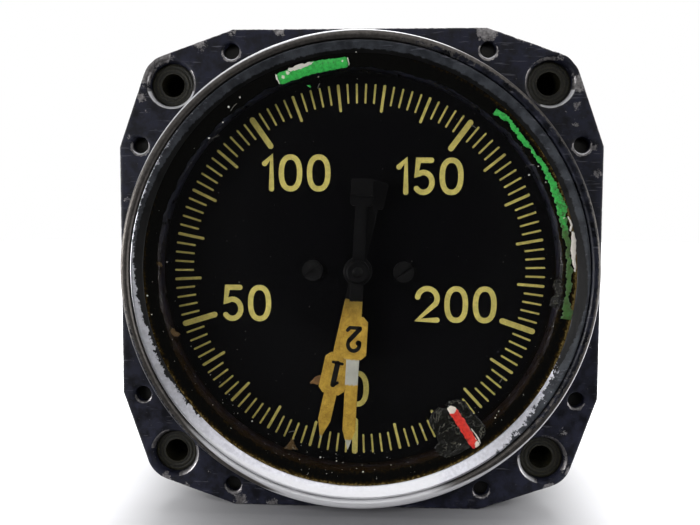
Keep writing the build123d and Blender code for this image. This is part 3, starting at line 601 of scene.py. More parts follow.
def moulded(name, colour, rough=0.5, grain=0.4, dust=(90, 88, 84), dust_share=0.15, depth=0.02, shine=0.4):
    """Plastic, rubber or an even coat of paint, with a fine grain and a little dust."""
    mix = Recipe(name, Specular_IOR_Level=shine)
    fine = mix.noise(grain, 4)
    cloud = mix.noise(grain * 9, 5, 0.6, seed=4.0)
    clean = mix.blend(fine, srgb(colour, 0.75), colour)
    return mix.finish(
        fine, depth,
        Base_Color=mix.over(clean, dust, cloud, 0.5, 0.85, dust_share),
        Roughness=mix.scale_add(cloud, 0.2, rough - 0.1),
    )


def laminated(name):
    """Stacked steel sheets, with their edges as fine lines along the axis."""
    mix = Recipe(name, Metallic=0.85)
    line = mix.noise(0.35, 1, place=mix.stretched(0.05, 1, 0.05))
    sheets = mix.step(line, 0.4, 0.6)
    return mix.finish(
        sheets, 0.05,
        Base_Color=mix.blend(sheets, (66, 66, 70), (122, 122, 126)),
        Roughness=mix.step(sheets, 0, 1, 0.55, 0.4),
    )


def varnished_wire(name):
    """Copper wire laid side by side under amber varnish."""
    mix = Recipe(name, Metallic=0.75, Coat_Weight=0.6, Coat_Roughness=0.25)
    turns = mix.noise(0.3, 2, place=mix.stretched(1, 0.12, 1))
    tone = mix.noise(3.0, 4, seed=1.0)
    copper = mix.blend(tone, (120, 54, 26), (176, 96, 50))
    return mix.finish(
        turns, 0.12,
        Base_Color=mix.over((62, 26, 12), copper, turns, 0.3, 0.5),
        Roughness=mix.scale_add(tone, 0.2, 0.3),
    )


def clear_glass(name):
    """Clear glass that lets the lamps through to the dial."""
    mix = Recipe(name, Base_Color=(255, 255, 255), Transmission_Weight=1.0, IOR=1.5)
    mix.set(Roughness=mix.step(mix.noise(4.0, 6, 0.7), 0.55, 0.9, 0.0, 0.045))
    clear = mix.add("BsdfTransparent")
    clear.inputs[0].default_value = (0.96, 0.96, 0.96, 1)
    both = mix.add("MixShader")
    shadow = mix.add("LightPath").outputs["Is Shadow Ray"]
    mix.fill(both.inputs, (shadow, mix.shader.outputs[0], clear.outputs[0]))
    mix.join(mix.tree.nodes["Material Output"].inputs[0], both.outputs[0])
    return mix.material


def pointer_paint(number, gold_from=5.0):
    """Gold paint on a pointer's blade, black at its hub and tail, bare white primer in spans."""
    angle = radians(POINTER_ANGLES[number])
    mix = Recipe(f"pointer_{number}_finish", Specular_IOR_Level=0.2)
    reach = mix.along(-sin(angle), 0, -cos(angle))
    ragged = mix.scale_add(mix.noise(0.5, 5), 0.7, reach)
    tone = mix.noise(1.6, 6, 0.65, seed=1.0)
    grain = mix.noise(0.2, 4, 0.7, seed=2.0)
    colour = mix.over((160, 126, 44), (208, 171, 70), tone, 0.3, 0.75)
    colour = mix.over(colour, (96, 66, 24), grain, 0.48, 0.7, 0.6)
    chalk = mix.blend(tone, (138, 140, 130), (204, 203, 192))
    for start, end in PRIMER_SPANS[number]:
        begun = mix.step(ragged, start + 0.2, start + 0.5)
        ended = mix.step(ragged, end + 0.5, end + 0.2)
        colour = mix.blend(mix.math("MULTIPLY", begun, ended), colour, chalk)
    colour = mix.over(colour, (66, 56, 22), reach, gold_from + 4.5, gold_from, 0.6)
    gilt = mix.step(ragged, gold_from + 0.3, gold_from + 0.45)
    return mix.finish(
        mix.scale_add(grain, 0.6, tone), 0.03, mix.soft_edges(0.1)[0],
        Base_Color=mix.blend(gilt, (4, 4, 5), colour),
        Roughness=mix.step(gilt, 0, 1, 0.38, 0.55),
    )


def old_print(name, colour, worn):
    """Printed paint, a little uneven and worn thin in places."""
    mix = Recipe(name, Specular_IOR_Level=0.2)
    tone = mix.noise(1.1, 6, 0.7)
    grain = mix.noise(0.14, 2, seed=3.0)
    return mix.finish(
        grain, 0.01,
        Base_Color=mix.over(colour, worn, mix.scale_add(grain, 0.4, tone), 0.45, 1.05),
        Roughness=mix.scale_add(tone, 0.2, 0.5),
    )


def thick_paint(name, fresh, deep, under, dirt=(60, 46, 26)):
    """Brushed-on marking paint: under shows by share, and dirt by dirt."""
    mix = Recipe(name)
    tone = mix.noise(0.7, 6, 0.65)
    grain = mix.noise(0.18, 3, seed=2.0)
    colour = mix.over(fresh, deep, tone, 0.38, 0.7)
    colour = mix.over(colour, srgb(deep, 0.25), mix.noise(0.3, 4, 0.7, seed=7.0), 0.54, 0.68, 0.75)
    colour = mix.over(colour, under, mix.scale_add(grain, 0.5, mix.measure("share")), 0.72, 0.82)
    colour = mix.over(colour, dirt, mix.scale_add(tone, 0.6, mix.measure("dirt")), 0.75, 0.95, 0.8)
    rough = mix.scale_add(tone, 0.3, 0.35)
    return mix.finish(mix.scale_add(grain, 0.5, tone), 0.06, Base_Color=colour, Roughness=rough)


def thin_residue(name, colour, rough, cover, size, fold_highlight=(126, 124, 106)):
    """A see-through layer: old film or dirt, denser in patches, with pale lines along its folds, painted
    highlights.
    """
    mix = Recipe(name, Roughness=rough)
    patch = mix.noise(size, 6, 0.7)
    ridges = mix.math("ABSOLUTE", mix.math("SUBTRACT", mix.noise(size * 1.7, 3, seed=6.0), 0.5))
    sparse = mix.step(mix.noise(size * 1.3, 2, seed=8.0), 0.4, 0.6)
    line = mix.math("MULTIPLY", mix.step(ridges, 0.022, 0.0), sparse)
    return mix.finish(
        mix.math("ADD", patch, line), 0.2,
        # painted highlights: pale lines along the folds
        Base_Color=mix.blend(mix.math("MULTIPLY", line, 0.7), colour, fold_highlight),
        Alpha=mix.scale_add(line, 0.3, mix.step(patch, 0.25, 0.5, cover * 0.5, cover)),
    )


PRIMER_SPANS = {1: [(29.3, 40.0)], 2: [(15.05, 19.4), (28.9, 40.0)]}  # along each pointer
FINISHES = {
    "case_paint": (worn_paint, dict(paint=(25, 26, 35), metal=(150, 147, 142), soft=0.5)),
    "insert_brass": (grimy_brass, {}),
    "screw_steel": (metal, dict(
        colour=(112, 108, 100), rough=0.45, grain=0.3, dirt=(26, 24, 20), dirt_share=0.85
    )),
    "sealant_black": (moulded, dict(colour=(20, 20, 20), rough=0.45)),
    "ring_metal": (metal, dict(colour=(190, 190, 190), rough=0.3, grain=0.4)),
    "cover_glass": (clear_glass, {}),
    "gasket_rubber": (moulded, dict(colour=(30, 30, 31), rough=0.7)),
    "dial_black": (moulded, dict(
        colour=(3, 3, 5), rough=0.75, grain=0.12, dust=(20, 20, 23), dust_share=0.08, depth=0.006, shine=0.05
    )),
    "black_screw": (moulded, dict(colour=(6, 6, 7), grain=0.3, dust_share=0.04, depth=0.01, shine=0.2)),
    "weight_black": (moulded, dict(
        colour=(4, 4, 5), rough=0.6, grain=0.3, dust_share=0.02, depth=0.01, shine=0.12
    )),
    "frame_metal": (metal, dict(
        colour=(172, 172, 172), rough=0.36, grain=0.8, dirt=(90, 86, 78), lines=(1, 0.15, 1)
    )),
    "post_metal": (metal, dict(colour=(160, 156, 150), rough=0.3, grain=0.4, lines=(0.1, 1, 0.1))),
    "core_steel": (laminated, {}),
    "winding_copper": (varnished_wire, {}),
    "shaft_steel": (metal, dict(
        colour=(186, 186, 190), rough=0.24, grain=0.3, lines=(0.1, 1, 0.1), black_before=DIAL_FRONT
    )),
    "bearing_steel": (metal, dict(colour=(206, 206, 210), rough=0.18, grain=0.3, dirt_share=0.1)),
    "insulator": (moulded, dict(colour=(96, 48, 30), rough=0.45, grain=0.5)),
    "contact_metal": (metal, dict(colour=(206, 176, 104), rough=0.28, grain=0.2, dirt_share=0.2)),
    "shell_metal": (metal, dict(colour=(134, 134, 118), rough=0.42, dirt=(52, 52, 44), dirt_share=0.6)),
    "receptacle_insulation": (moulded, dict(colour=(40, 44, 40), rough=0.6, grain=0.3)),
}


def finish_nodes():
    """Gives every carried-over node the finish of its slot, and some their own."""
    made = {slot: make(slot + "_finish", **settings) for slot, (make, settings) in FINISHES.items()}
    own = {f"pointer_{number}": pointer_paint(number) for number in POINTER_BODIES}
    own["flange_screws"] = moulded(
        "flange_screws_finish", (16, 15, 13), grain=0.3, dust=(60, 54, 40), shine=0.25
    )
    for part in frame["record"]["subparts"]:
        dress(frame["nodes"][part["node"]], own.get(part["node"]) or made[part["material_slot"]])


# Flange with its collar

def flange_loop():
    """The flange's outline, clockwise from the top left, and its outward directions."""
    half, flat = FLANGE_HALF, SIDE_LENGTH / 2
    dx, dz = HOLE_HALF - flat, HOLE_HALF - half
    reach = hypot(dx, dz)
    slope = atan2(dz, dx) + asin(CORNER_R / reach)
    tangent = sqrt(reach**2 - CORNER_R**2)
    start = (flat + tangent * cos(slope), half + tangent * sin(slope))
    turn = degrees(atan2(start[1] - HOLE_HALF, start[0] - HOLE_HALF))
    steps = ceil(radians(2 * turn - 90) * CORNER_R / OUTLINE_STEP)
    quarter = spaced((-flat, half), (flat, half), OUTLINE_STEP)
    quarter += spaced((flat, half), start, OUTLINE_STEP)
    quarter += arc((HOLE_HALF, HOLE_HALF), (CORNER_R, CORNER_R), turn, 90 - turn, steps)[:-1]
    quarter += spaced((start[1], start[0]), (half, flat), OUTLINE_STEP)
    points = np.array(quarter)
    loop = np.concatenate([points, points[:, ::-1] * (1, -1), -points, points[:, ::-1] * (-1, 1)])
    return loop, sideways(unit(np.roll(loop, -1, 0) - np.roll(loop, 1, 0)))


OUTLINE, OUTWARD = flange_loop()
OUTLINE_REACH = (OUTLINE * OUTWARD).sum(1)
CORNERS = [(x * HOLE_HALF, z * HOLE_HALF) for x in (-1, 1) for z in (-1, 1)]
SCREW_HOLES = [on_dial(SCREW_HOLE_CIRCLE, angle) for angle in SCREW_HOLE_ANGLES]
CORNER_STEPS, SCREW_HOLE_STEPS = 96, 48
NICK_DEPTH = 0.32
EDGE_NICKS = (
    (-33.5, 33.5), (32.5, 35.5), (-12, 40), (26, 39), (-38, -22), (8, -40.4), (21, -39.5), (-29, -36),
)
# Where the paint has gone: x, z, reach in millimetres, and how much is bare
FLANGE_WEAR = (
    (-36, 33.5, 2.6, 0.85), (-33, 36, 2.2, 0.8), (-36.6, 29.2, 1.3, 0.6), (-26.5, 38, 2, 0.55),
    (-21, 40, 1.6, 0.5), (-13, 40, 1.5, 0.6), (21, 39.9, 2.2, 0.85), (26.6, 38.6, 1.2, 0.6),
    (33, 35.6, 1.4, 0.5), (36, 31.4, 1.9, 0.75), (35.8, 27.8, 1.4, 0.5), (39.4, 16.5, 1.6, 0.5),
    (38.8, 20.8, 1.2, 0.5), (-33.2, -36, 1.6, 0.6), (-29.4, -37.4, 1.2, 0.55), (-20, -39.6, 1.8, 0.6),
    (-14.5, -40.1, 1.5, 0.6), (34.8, -26.8, 1.5, 0.45), (36, -33.4, 1.8, 0.5), (32.6, -36.4, 1.3, 0.7),
    (27.5, 34, 0.9, 0.38), (30.6, 37.4, 1.1, 0.5), (35.6, 24.6, 1, 0.5), (24.4, 36.6, 0.8, 0.38),
    (37, 20.6, 0.9, 0.5), (34.2, 26.4, 0.7, 0.38), (-35.6, 27, 0.7, 0.4), (-25.6, -34.6, 0.8, 0.4),
    (-33.2, -27, 0.7, 0.4), (-39.2, 12, 1.3, 0.45), (-38.7, 22.5, 1.2, 0.4), (38.9, -12, 1.3, 0.4),
    (28, 37.2, 1.3, 0.4),
)
# Bare metal round each corner bore: its middle, half its reach in degrees, and how much. Amounts above 1 also
# whiten it, a painted highlight on the sides that face up.
BORE_WEAR_AND_HIGHLIGHT = {
    (-1, 1): ((180, 70, 1.15), (80, 22, 0.55)),
    (1, 1): ((155, 45, 1.15), (255, 45, 0.6), (345, 25, 0.5)),
    (-1, -1): ((312, 24, 0.9), (120, 42, 1.0)),
    (1, -1): ((60, 60, 0.5), (235, 35, 1.05)),
}
# How bare the collar's end is by angle, how much less outside a radius, where kept dark paint is a painted
# shade, and more at its edge
# Shares past 1 low down also whiten the worn metal, a painted highlight
COLLAR_WEAR_AND_HIGHLIGHT = (
    (0, 0.6), (25, 0.35), (60, 0.15), (100, 0.2), (130, 0.45), (150, 0.9), (165, 1.15), (215, 1.15),
    (238, 0.85), (262, 0.6), (285, 0.6), (300, 0.72), (345, 0.72), (360, 0.6),
)
COLLAR_PAINTED_SHADE = ((0, 0), (190, 0), (207, 0.6), (220, 0.95), (245, 0.7), (270, 0.1), (360, 0))
COLLAR_EDGE_WEAR = (
    (0, 0.6), (20, 0.75), (45, 0.7), (60, 0.4), (80, 0.5), (97, 0.95), (150, 0.9), (165, 0.5), (200, 0.4),
    (260, 0.3), (300, 0.5), (340, 0.8), (360, 0.6),
)
# Where the collar's painted shade begins outwards, and how wide it comes in
COLLAR_PAINTED_SHADE_R, COLLAR_PAINTED_SHADE_WIDTH = 38.3, 0.6


def depth_inside(x, z):
    """How far inside the flange's convex outline a place is."""
    return float((OUTLINE_REACH - OUTWARD @ (x, z)).min())


def circle(radius, steps, centre=(0.0, 0.0)):
    return arc(centre, (radius, radius), 90, -270, steps)[:-1]


def at_level(loop, y):
    return [(x, y, z) for x, z in loop]


def nick(x, z):
    """How deep the outline is dented at a place, most at the spots that took knocks."""
    knocks = sum(near(hypot(x - a, z - b), 3) for a, b in EDGE_NICKS)
    rough = max(0.0, ripple(x, 0, z, 1.1) - 0.12) * 0.35
    return min(NICK_DEPTH, rough * (0.35 + knocks))


def collar_profile():
    """From the flange's face round the collar and down its bore to the rear face."""
    front, edge = COLLAR_FRONT, COLLAR_EDGE_R
    turns = np.linspace(0, pi / 2, 4)
    root = [(COLLAR_R + ROOT_R - ROOT_R * sin(t), -ROOT_R + ROOT_R * cos(t)) for t in turns]
    outer = arc((COLLAR_R - edge, front + edge), (edge, -edge), 0, 90, 7)
    inner = arc((COLLAR_INNER_R + edge, front + edge), (edge, -edge), 90, 180, 7)
    side = refined([root[-1], outer[0]], 0.6)[1:-1]
    bore = [(COLLAR_INNER_R, LIP_FRONT), (LIP_R, LIP_FRONT), (LIP_R, FLANGE_BACK)]
    return root + side + outer + inner + bore


def collar_share(radius, angle):
    """How bare the collar is: nowhere in its bore, most at its outer edge, and less just inside that on the
    lower left, a painted shade.
    """
    if radius < COLLAR_INNER_R - 0.05:
        return 0.0
    outer = clamp((radius - COLLAR_PAINTED_SHADE_R) / COLLAR_PAINTED_SHADE_WIDTH)
    # painted shade: dark paint kept outside a radius on the lower left
    worn = curve_at(COLLAR_WEAR_AND_HIGHLIGHT, angle) - outer * curve_at(COLLAR_PAINTED_SHADE, angle)
    return worn + near(radius - COLLAR_R, 0.5) * curve_at(COLLAR_EDGE_WEAR, angle)


def flange_share(x, y, z):
    """How bare the flange or its collar is at a place."""
    radius, angle = polar(x, z)
    if radius < COLLAR_R + 0.2:
        return collar_share(radius, angle)
    inside = depth_inside(x, z)
    share = max(0.02 + 0.5 * near(inside, 0.3), near_spots(FLANGE_WEAR)(x, y, z))
    if y > BORE_CHAMFER + RIM:
        return share * (1.0 if y < 3 * EDGE_R else 0.5) if inside < EDGE_R else 0.0
    for (across, up), arcs in BORE_WEAR_AND_HIGHLIGHT.items():
        away, angle = polar(x - across * HOLE_HALF, z - up * HOLE_HALF)
        ring = near(max(0.0, abs(away - BORE_R - BORE_CHAMFER / 2) - BORE_CHAMFER / 2), 0.1)
        for middle, half, amount in arcs:
            off = max(0.0, abs((angle - middle + 180) % 360 - 180) - half)
            share = max(share, ring * amount * near(off, 9))
    for a, b in SCREW_HOLES:
        away, angle = polar(x - a, z - b)
        # Worn lower rims, past full wear in the upper holes, where the metal is whitened as a painted
        # highlight
        amount = (1.4 if z > 0 else 0.8) * (0.5 - 0.5 * cos(radians(angle)))
        share = max(share, amount * near(away - SCREW_HOLE_R - 0.1, 0.24))
    return share


def make_flange():
    shape = Shape()
    nicks = np.array([nick(x, z) for x, z in OUTLINE])
    rows = [(0.0, FLANGE_BACK, 0.0), (0.0, EDGE_R * 2.5, 0.2)]  # inset, y and how deep the nicks are
    rows += [(EDGE_R * (1 - cos(t)), EDGE_R * (1 - sin(t)), 0.5 + t / pi) for t in np.linspace(0, pi / 2, 5)]
    sides = [OUTLINE - OUTWARD * (inset + nicks * weight)[:, None] for inset, _, weight in rows]
    shape.bridge([at_level(loop, y) for loop, (_, y, _) in zip(sides, rows)])
    front_loops = [sides[-1], circle(COLLAR_R + ROOT_R, ROUND_STEPS)]
    back_loops = [sides[0], circle(LIP_R, ROUND_STEPS)]
    holes = [(spot, BORE_R, BORE_CHAMFER, CORNER_STEPS) for spot in CORNERS]
    holes += [(spot, SCREW_HOLE_R, RIM, SCREW_HOLE_STEPS) for spot in SCREW_HOLES]
    for spot, radius, chamfer, steps in holes:
        radii = (radius + chamfer + RIM, radius + chamfer, radius, radius, radius)
        levels = (0.0, RIM * 0.4, chamfer + RIM * 0.4, chamfer + 1.2, FLANGE_BACK)
        rings = [circle(r, steps, spot) for r in radii]
        shape.bridge([at_level(ring, y) for ring, y in zip(rings, levels)])
        front_loops.append(rings[0])
        back_loops.append(rings[-1])
    shape.sheet(front_loops, 0.0, FACE_STEP)
    shape.sheet(back_loops, FLANGE_BACK)
    shape.lathe(collar_profile(), ROUND_STEPS, look=1, closed=False)
    paint = worn_paint("flange_paint_worn", (18, 19, 29), (146, 143, 144), chip=0.8, paint_rough=0.5)
    collar = worn_paint("collar_worn", (22, 23, 27), (100, 96, 93), chip=0.7, fine=0.16, metal_rough=0.42,
                        paint_rough=0.34, stain=0.65, dent=0.03)
    piece("flange_casting", shape, (paint, collar), "case_paint",
          replaces=("front_flange",), share=flange_share)


# Ring and compound round the glass

# How bare the ring is by angle, how far soot reaches across it from its inner edge, and
# how much barer its outer edge is than its inner one
# Shares past 1 along the bottom also whiten the worn metal, a painted highlight
RING_WEAR_AND_HIGHLIGHT = (
    (0, 0.08), (60, 0.08), (90, 0.12), (105, 0.2), (113, 0.25), (120, 0.38), (135, 0.5), (148, 0.75),
    (160, 1.1), (200, 1.1), (225, 0.85), (240, 0.6), (255, 0.62), (265, 0.42), (275, 0.2), (300, 0.2),
    (345, 0.08), (360, 0.08),
)
RING_SMEAR = (
    (0, 0.3), (45, 0.28), (75, 0.42), (95, 0.85), (105, 0.6), (120, 0.15), (150, 0.05), (190, 0.1),
    (215, 0.4), (240, 0.55), (255, 0.4), (270, 0.75), (285, 0.6), (300, 0.42), (315, 0.3), (345, 0.28),
    (360, 0.3),
)
RING_LEAN = (
    (0, 0.2), (80, 0.25), (97, 0.3), (110, -0.1), (120, -0.45), (140, -0.4), (160, 0), (190, 0.3), (215, 0.6),
    (260, 0.9), (300, 0.6), (330, 0.2), (360, 0.2),
)
SEALANT_DIRT = (
    (0, 0.12), (50, 0.4), (80, 0.6), (105, 0.6), (130, 0.4), (150, 0.5), (190, 0.55), (230, 0.5), (270, 0.32),
    (300, 0.15), (360, 0.12),
)
RING_STEPS = ROUND_STEPS * 5 // 4


def across_ring(radius):
    return (radius - RING_INNER_R) / (RING_R - RING_INNER_R)


def ring_share(x, y, z):
    radius, angle = polar(x, z)
    return curve_at(RING_WEAR_AND_HIGHLIGHT, angle) + curve_at(RING_LEAN, angle) * (across_ring(radius) - 0.5)


def ring_soot(x, y, z):
    radius, angle = polar(x, z)
    return 0.5 + 1.6 * (curve_at(RING_SMEAR, angle) - across_ring(radius))


def make_ring():
    crest = RING_CREST * 0.6
    slope = refined([(RING_INNER_R, SEALANT_FRONT - 0.03), (RING_R - RING_CREST, RING_FRONT)], 0.14)
    edge = arc((RING_R - crest, RING_FRONT + crest), (crest, -crest), 90, 0, 4)
    profile = slope + edge + [(RING_R, GLASS_FRONT), (RING_INNER_R, GLASS_FRONT)]

    def wobble(angle, radius, y):
        x, z = on_dial(radius, angle)
        return radius, y + 0.012 * ripple(x, y, z, 0.5) if y < GLASS_FRONT else y

    look = worn_paint("ring_worn", (57, 60, 66), (214, 214, 222), fine=0.3, metal_rough=0.3, paint_rough=0.4,
                      stain=0.8, sooty=True, dent=0.03, haze=(90, 94, 98))
    piece("retaining_ring_worn", Shape().lathe(profile, RING_STEPS, wobble=wobble), (look,), "ring_metal",
          replaces=("glass_retaining_ring",), share=ring_share, soot=ring_soot)


def sealant_finish():
    """Black compound with brown and yellow dirt where the measure says."""
    mix = Recipe("sealant_compound", Specular_IOR_Level=0.0)
    lump = mix.noise(0.5, 5, 0.65)
    grain = mix.noise(0.2, 3, seed=3.0)
    dirt = mix.scale_add(lump, 1.2, mix.measure("dirt"))
    colour = mix.over((13, 13, 12), (46, 35, 14), dirt, 0.86, 1.2, 0.9)
    colour = mix.over(colour, (122, 104, 62), mix.scale_add(grain, 0.5, dirt), 1.42, 1.52, 0.75)
    rough = mix.step(lump, 0.3, 0.7, 0.4, 0.7)
    return mix.finish(mix.scale_add(grain, 0.4, lump), 0.08, Base_Color=colour, Roughness=rough)


def sealant_dirt(x, y, z):
    """Dirt on the compound, most along its two edges and low down."""
    radius, angle = polar(x, z)
    edges = 0.95 * near(RING_INNER_R - radius, 0.6) + 0.3 * near(radius - SEALANT_INNER_R, 0.5)
    return curve_at(SEALANT_DIRT, angle) * (0.35 + edges)


def make_sealant():
    width = RING_INNER_R - SEALANT_INNER_R
    top = refined([(SEALANT_INNER_R, GLASS_FRONT - 0.03), (RING_INNER_R, SEALANT_FRONT)], 0.16)
    profile = top + [(RING_INNER_R, GLASS_FRONT), (SEALANT_INNER_R, GLASS_FRONT)]

    def wobble(angle, radius, y):
        x, z = on_dial(radius, angle)
        share = (RING_INNER_R - radius) / width
        drift = 0.3 * ripple(x, 0, z, 2.6) + 0.16 * ripple(x, 0, z, 0.7, 4.0)
        lift = 0.0 if y > GLASS_FRONT - 0.01 else 0.07 * ripple(x, 0, z, 0.8, 8.0) - 0.05 * sin(pi * share)
        return radius + share * drift, min(y + lift, GLASS_FRONT)

    piece("sealant_bead", Shape().lathe(profile, RING_STEPS, wobble=wobble), (sealant_finish(),),
          "sealant_black", replaces=("glass_sealant",), dirt=sealant_dirt)


# Dial print

def bent(value, power=0.86):
    """A value between -1 and 1 raised to a power, its sign kept."""
    return abs(value) ** power * (1 if value > 0 else -1)


def digit_path(digit):
    """The centre line of a numeral from its lower left corner, and whether it closes."""
    wide, tall, pen = DIGIT_WIDTHS[digit], DIGIT_HEIGHT, DIGIT_STROKE / 2
    if digit == "0":
        oval = [(bent(cos(t)), bent(sin(t))) for t in np.linspace(0, 2 * pi, 48, endpoint=False)]
        return [(wide / 2 + a * (wide / 2 - pen), tall / 2 + b * (tall / 2 - pen)) for a, b in oval], True
    if digit == "1":
        return [(pen, tall * 0.75), (wide - pen, tall - pen), (wide - pen, pen)], False
    if digit == "2":
        bowl = (wide / 2 - pen, tall * 0.27)
        centre = (wide / 2, tall - pen - bowl[1])
        return arc(centre, bowl, 172, -32, 18) + [(pen * 1.1, pen), (wide - pen, pen)], False
    bowl = (wide / 2 - pen + 0.1, tall * 0.265)
    centre = (wide - pen - bowl[0], pen + bowl[1])
    start = [(wide - pen - 0.15, tall - pen), (pen * 1.9, tall - pen), (pen * 1.25, tall * 0.54)]
    return start + arc(centre, bowl, 118, -142, 20), False


def make_scale():
    cream = old_print("scale_print", (224, 209, 116), (176, 162, 88))
    scale, numerals = Shape(), Shape()
    for n in range(DIVISIONS):
        inner, width = next(TICKS[every] for every in TICKS if n % every == 0)
        angle = 180 + DIAL_TURN + 360 * n / DIVISIONS
        ends = [on_dial(inner + width / 2, angle), on_dial(TICK_OUTER_R - width / 4, angle)]
        scale.stroke(ends, width, DIAL_FRONT - PRINT_T, DIAL_FRONT, cap=3)
    for number, (left, foot) in NUMBERS.items():
        for digit in number:
            path, closed = digit_path(digit)
            path = [(left + x, foot + z) for x, z in path]
            numerals.stroke(path, DIGIT_STROKE, DIAL_FRONT - PRINT_T, DIAL_FRONT, closed=closed)
            left += DIGIT_WIDTHS[digit] + DIGIT_GAP
    piece("dial_scale", scale, (cream,), "dial_black", smooth=False)
    piece("dial_numerals", numerals, (cream,), "dial_black", smooth=False)


# Numbers on the pointers: each stroke's path about the plate's middle, foot down, and its width
HOOK = arc((0.0, 1.05), (0.98, 1.1), 200, -38, 16)
PLATE_STROKES = {
    1: (([(-0.1, -1.9), (-0.1, 1.9)], 0.92), ([(-0.9, -1.98), (0.7, -1.98)], 0.5),
        ([(-0.8, 1.4), (-0.25, 1.9)], 0.5)),
    2: ((HOOK, 0.66), ([HOOK[-1], (-0.9, -1.6)], 0.78), ([(-0.95, -1.8), (0.75, -1.8), (1.15, -1.35)], 0.62),
        ([(-0.86, 0.8), (-0.8, 0.78)], 0.95)),
}


def make_pointer_number(number):
    middle, turn = sum(POINTER_PLATES[number]) / 2, radians(POINTER_ANGLES[number])
    out, across = (-sin(turn), -cos(turn)), (-cos(turn), sin(turn))
    shape = Shape()
    for path, width in PLATE_STROKES[number]:
        line = [[o * (middle + b) + s * a for o, s in zip(out, across)] for a, b in path]
        shape.stroke(line, width, BLADE_FRONT[number] - PRINT_T, BLADE_FRONT[number])
    black = old_print(f"pointer_{number}_number_print", (7, 7, 7), (16, 14, 11))
    piece(f"pointer_{number}_number", shape, (black,), "pointer_gold", POINTER_BODIES[number], smooth=False)


# Marks and residue on the glass

# A brushed mark is a spine of (angle, radius, width) places,
# and a film, stain or flake is an outline of (x, z) places.
GREEN_TOP = ((337.6, 34.2, 1.9), (342, 34.05, 1.8), (347, 34.2, 1.9), (352, 34.2, 1.8), (357.1, 34.35, 1.6))
GREEN_RIGHT = (
    (39.9, 34.4, 1), (41, 34.5, 1.1), (42.4, 34.65, 1), (44.1, 34.6, 0.72), (47.4, 34.55, 0.74),
    (50.8, 34.45, 0.8), (53.7, 34.5, 0.5), (57.2, 34.6, 0.7), (60, 34.7, 0.74), (62.9, 34.65, 0.8),
    (65.7, 34.7, 1), (68.6, 34.75, 1.25), (71.6, 34.75, 1.5), (74.3, 34.6, 1.2), (77.4, 34.4, 1),
    (80.9, 34.5, 0.65), (84.7, 34.45, 0.45), (88.4, 34.45, 0.75), (91.9, 34.55, 0.85), (95, 34.4, 0.5),
    (97.8, 34.4, 0.75), (100, 34.9, 1.5), (102, 35, 1.7),
)
WHITE_TEAR = ((340.9, 34.85, 0.5), (344.5, 34.85, 0.75), (348, 35.05, 0.35))
WHITE_STREAKS = (
    ((74.4, 35.35, 0.22), (76.8, 35.6, 0.3), (78.4, 35.2, 0.34)),
    ((337.35, 33.4, 0.16), (337.2, 34.2, 0.26), (337.4, 35.05, 0.2)),
    ((357.3, 33.8, 0.1), (357.35, 34.5, 0.14), (357.2, 35.05, 0.1)),
    ((143.35, 32, 0.14), (143.35, 33.4, 0.24), (143.75, 34.8, 0.2)),
    ((78.6, 35.5, 0.4), (81, 35.5, 0.8), (83, 35.25, 0.8), (85.8, 35.25, 0.65), (89.2, 35.4, 0.25)),
)
RED_MARK = ((145.1, 26.9, 1), (144.9, 28, 1.5), (144.9, 31, 1.6), (145.3, 33, 1.5), (145.2, 35, 1.4))
STRIP_STEP, STRIP_ROWS = 0.12, 7  # along it, and rows to each side
GREEN_SPECK = ((344.7, 31.7, 0.16), (345.7, 31.3, 0.22))
# Where a mark is lifted or dirty: x, z, reach and amount
GREEN_TOP_LIFTED = (
    (-12.2, 31.9, 0.6, 0.66), (-11.5, 32.6, 0.65, 0.66), (-2.6, 34.4, 0.4, 0.6), (-2.2, 33.9, 0.3, 0.5),
)
GREEN_TOP_DIRT = (
    (-6.6, 33.95, 0.3, 0.5), (-5.8, 34.05, 0.3, 0.55), (-4.9, 34.15, 0.3, 0.6), (-4, 34.25, 0.3, 0.6),
    (-3.2, 34.3, 0.25, 0.5), (-8.2, 33, 0.4, 0.4),
)
GREEN_RIGHT_LIFTED = (
    (33, 12, 0.5, 0.5), (28.3, 20.2, 0.35, 0.5), (30.6, 16, 0.25, 0.5), (31.5, 13.4, 0.3, 0.5),
    (33.4, 9.2, 0.5, 0.55),
)
RED_LIFTED = (
    (15.7, -22.4, 1.1, 0.9), (20.4, -28.3, 1, 0.9), (20, -27.2, 0.45, 0.8), (19.2, -25.9, 0.35, 0.7),
    (18.4, -24.7, 0.28, 0.6),
)
RED_DIRT = ((18.3, -27.6, 0.8, 0.6), (17.6, -26.2, 0.45, 0.5))
GREEN_RIGHT_DIRT = (
    (51, 0), (53.2, 0.55), (55, 0.1), (60, 0.36), (66, 0.5), (76, 0.55), (82, 0.74), (101, 0.68),
)  # angle and amount
FILM_RIGHT = (
    (15.2, -22.6), (15.3, -21.2), (16.6, -20.8), (18, -21.1), (18.9, -22.6), (20.2, -23.9), (21.2, -25.2),
    (21.4, -26.5), (20.5, -27.7), (19.2, -27.9),
)
FILM_LEFT = (
    (15.3, -22.5), (13.6, -22.2), (12.5, -23.2), (12, -24.5), (12.4, -25.6), (13.3, -26.8), (13.6, -28.2),
    (13.1, -29.2), (13.9, -30.3), (15.1, -30.7), (17.2, -29.9), (19.2, -28.6), (18, -26.6),
)
FILM_SIDE = (
    (33.2, -0.6), (33.7, -1.6), (33.4, -3), (33.7, -4.6), (32.6, -5.6), (31.5, -5.2), (31.7, -3.9),
    (32.5, -3.1), (31.9, -2), (32.2, -0.9),
)
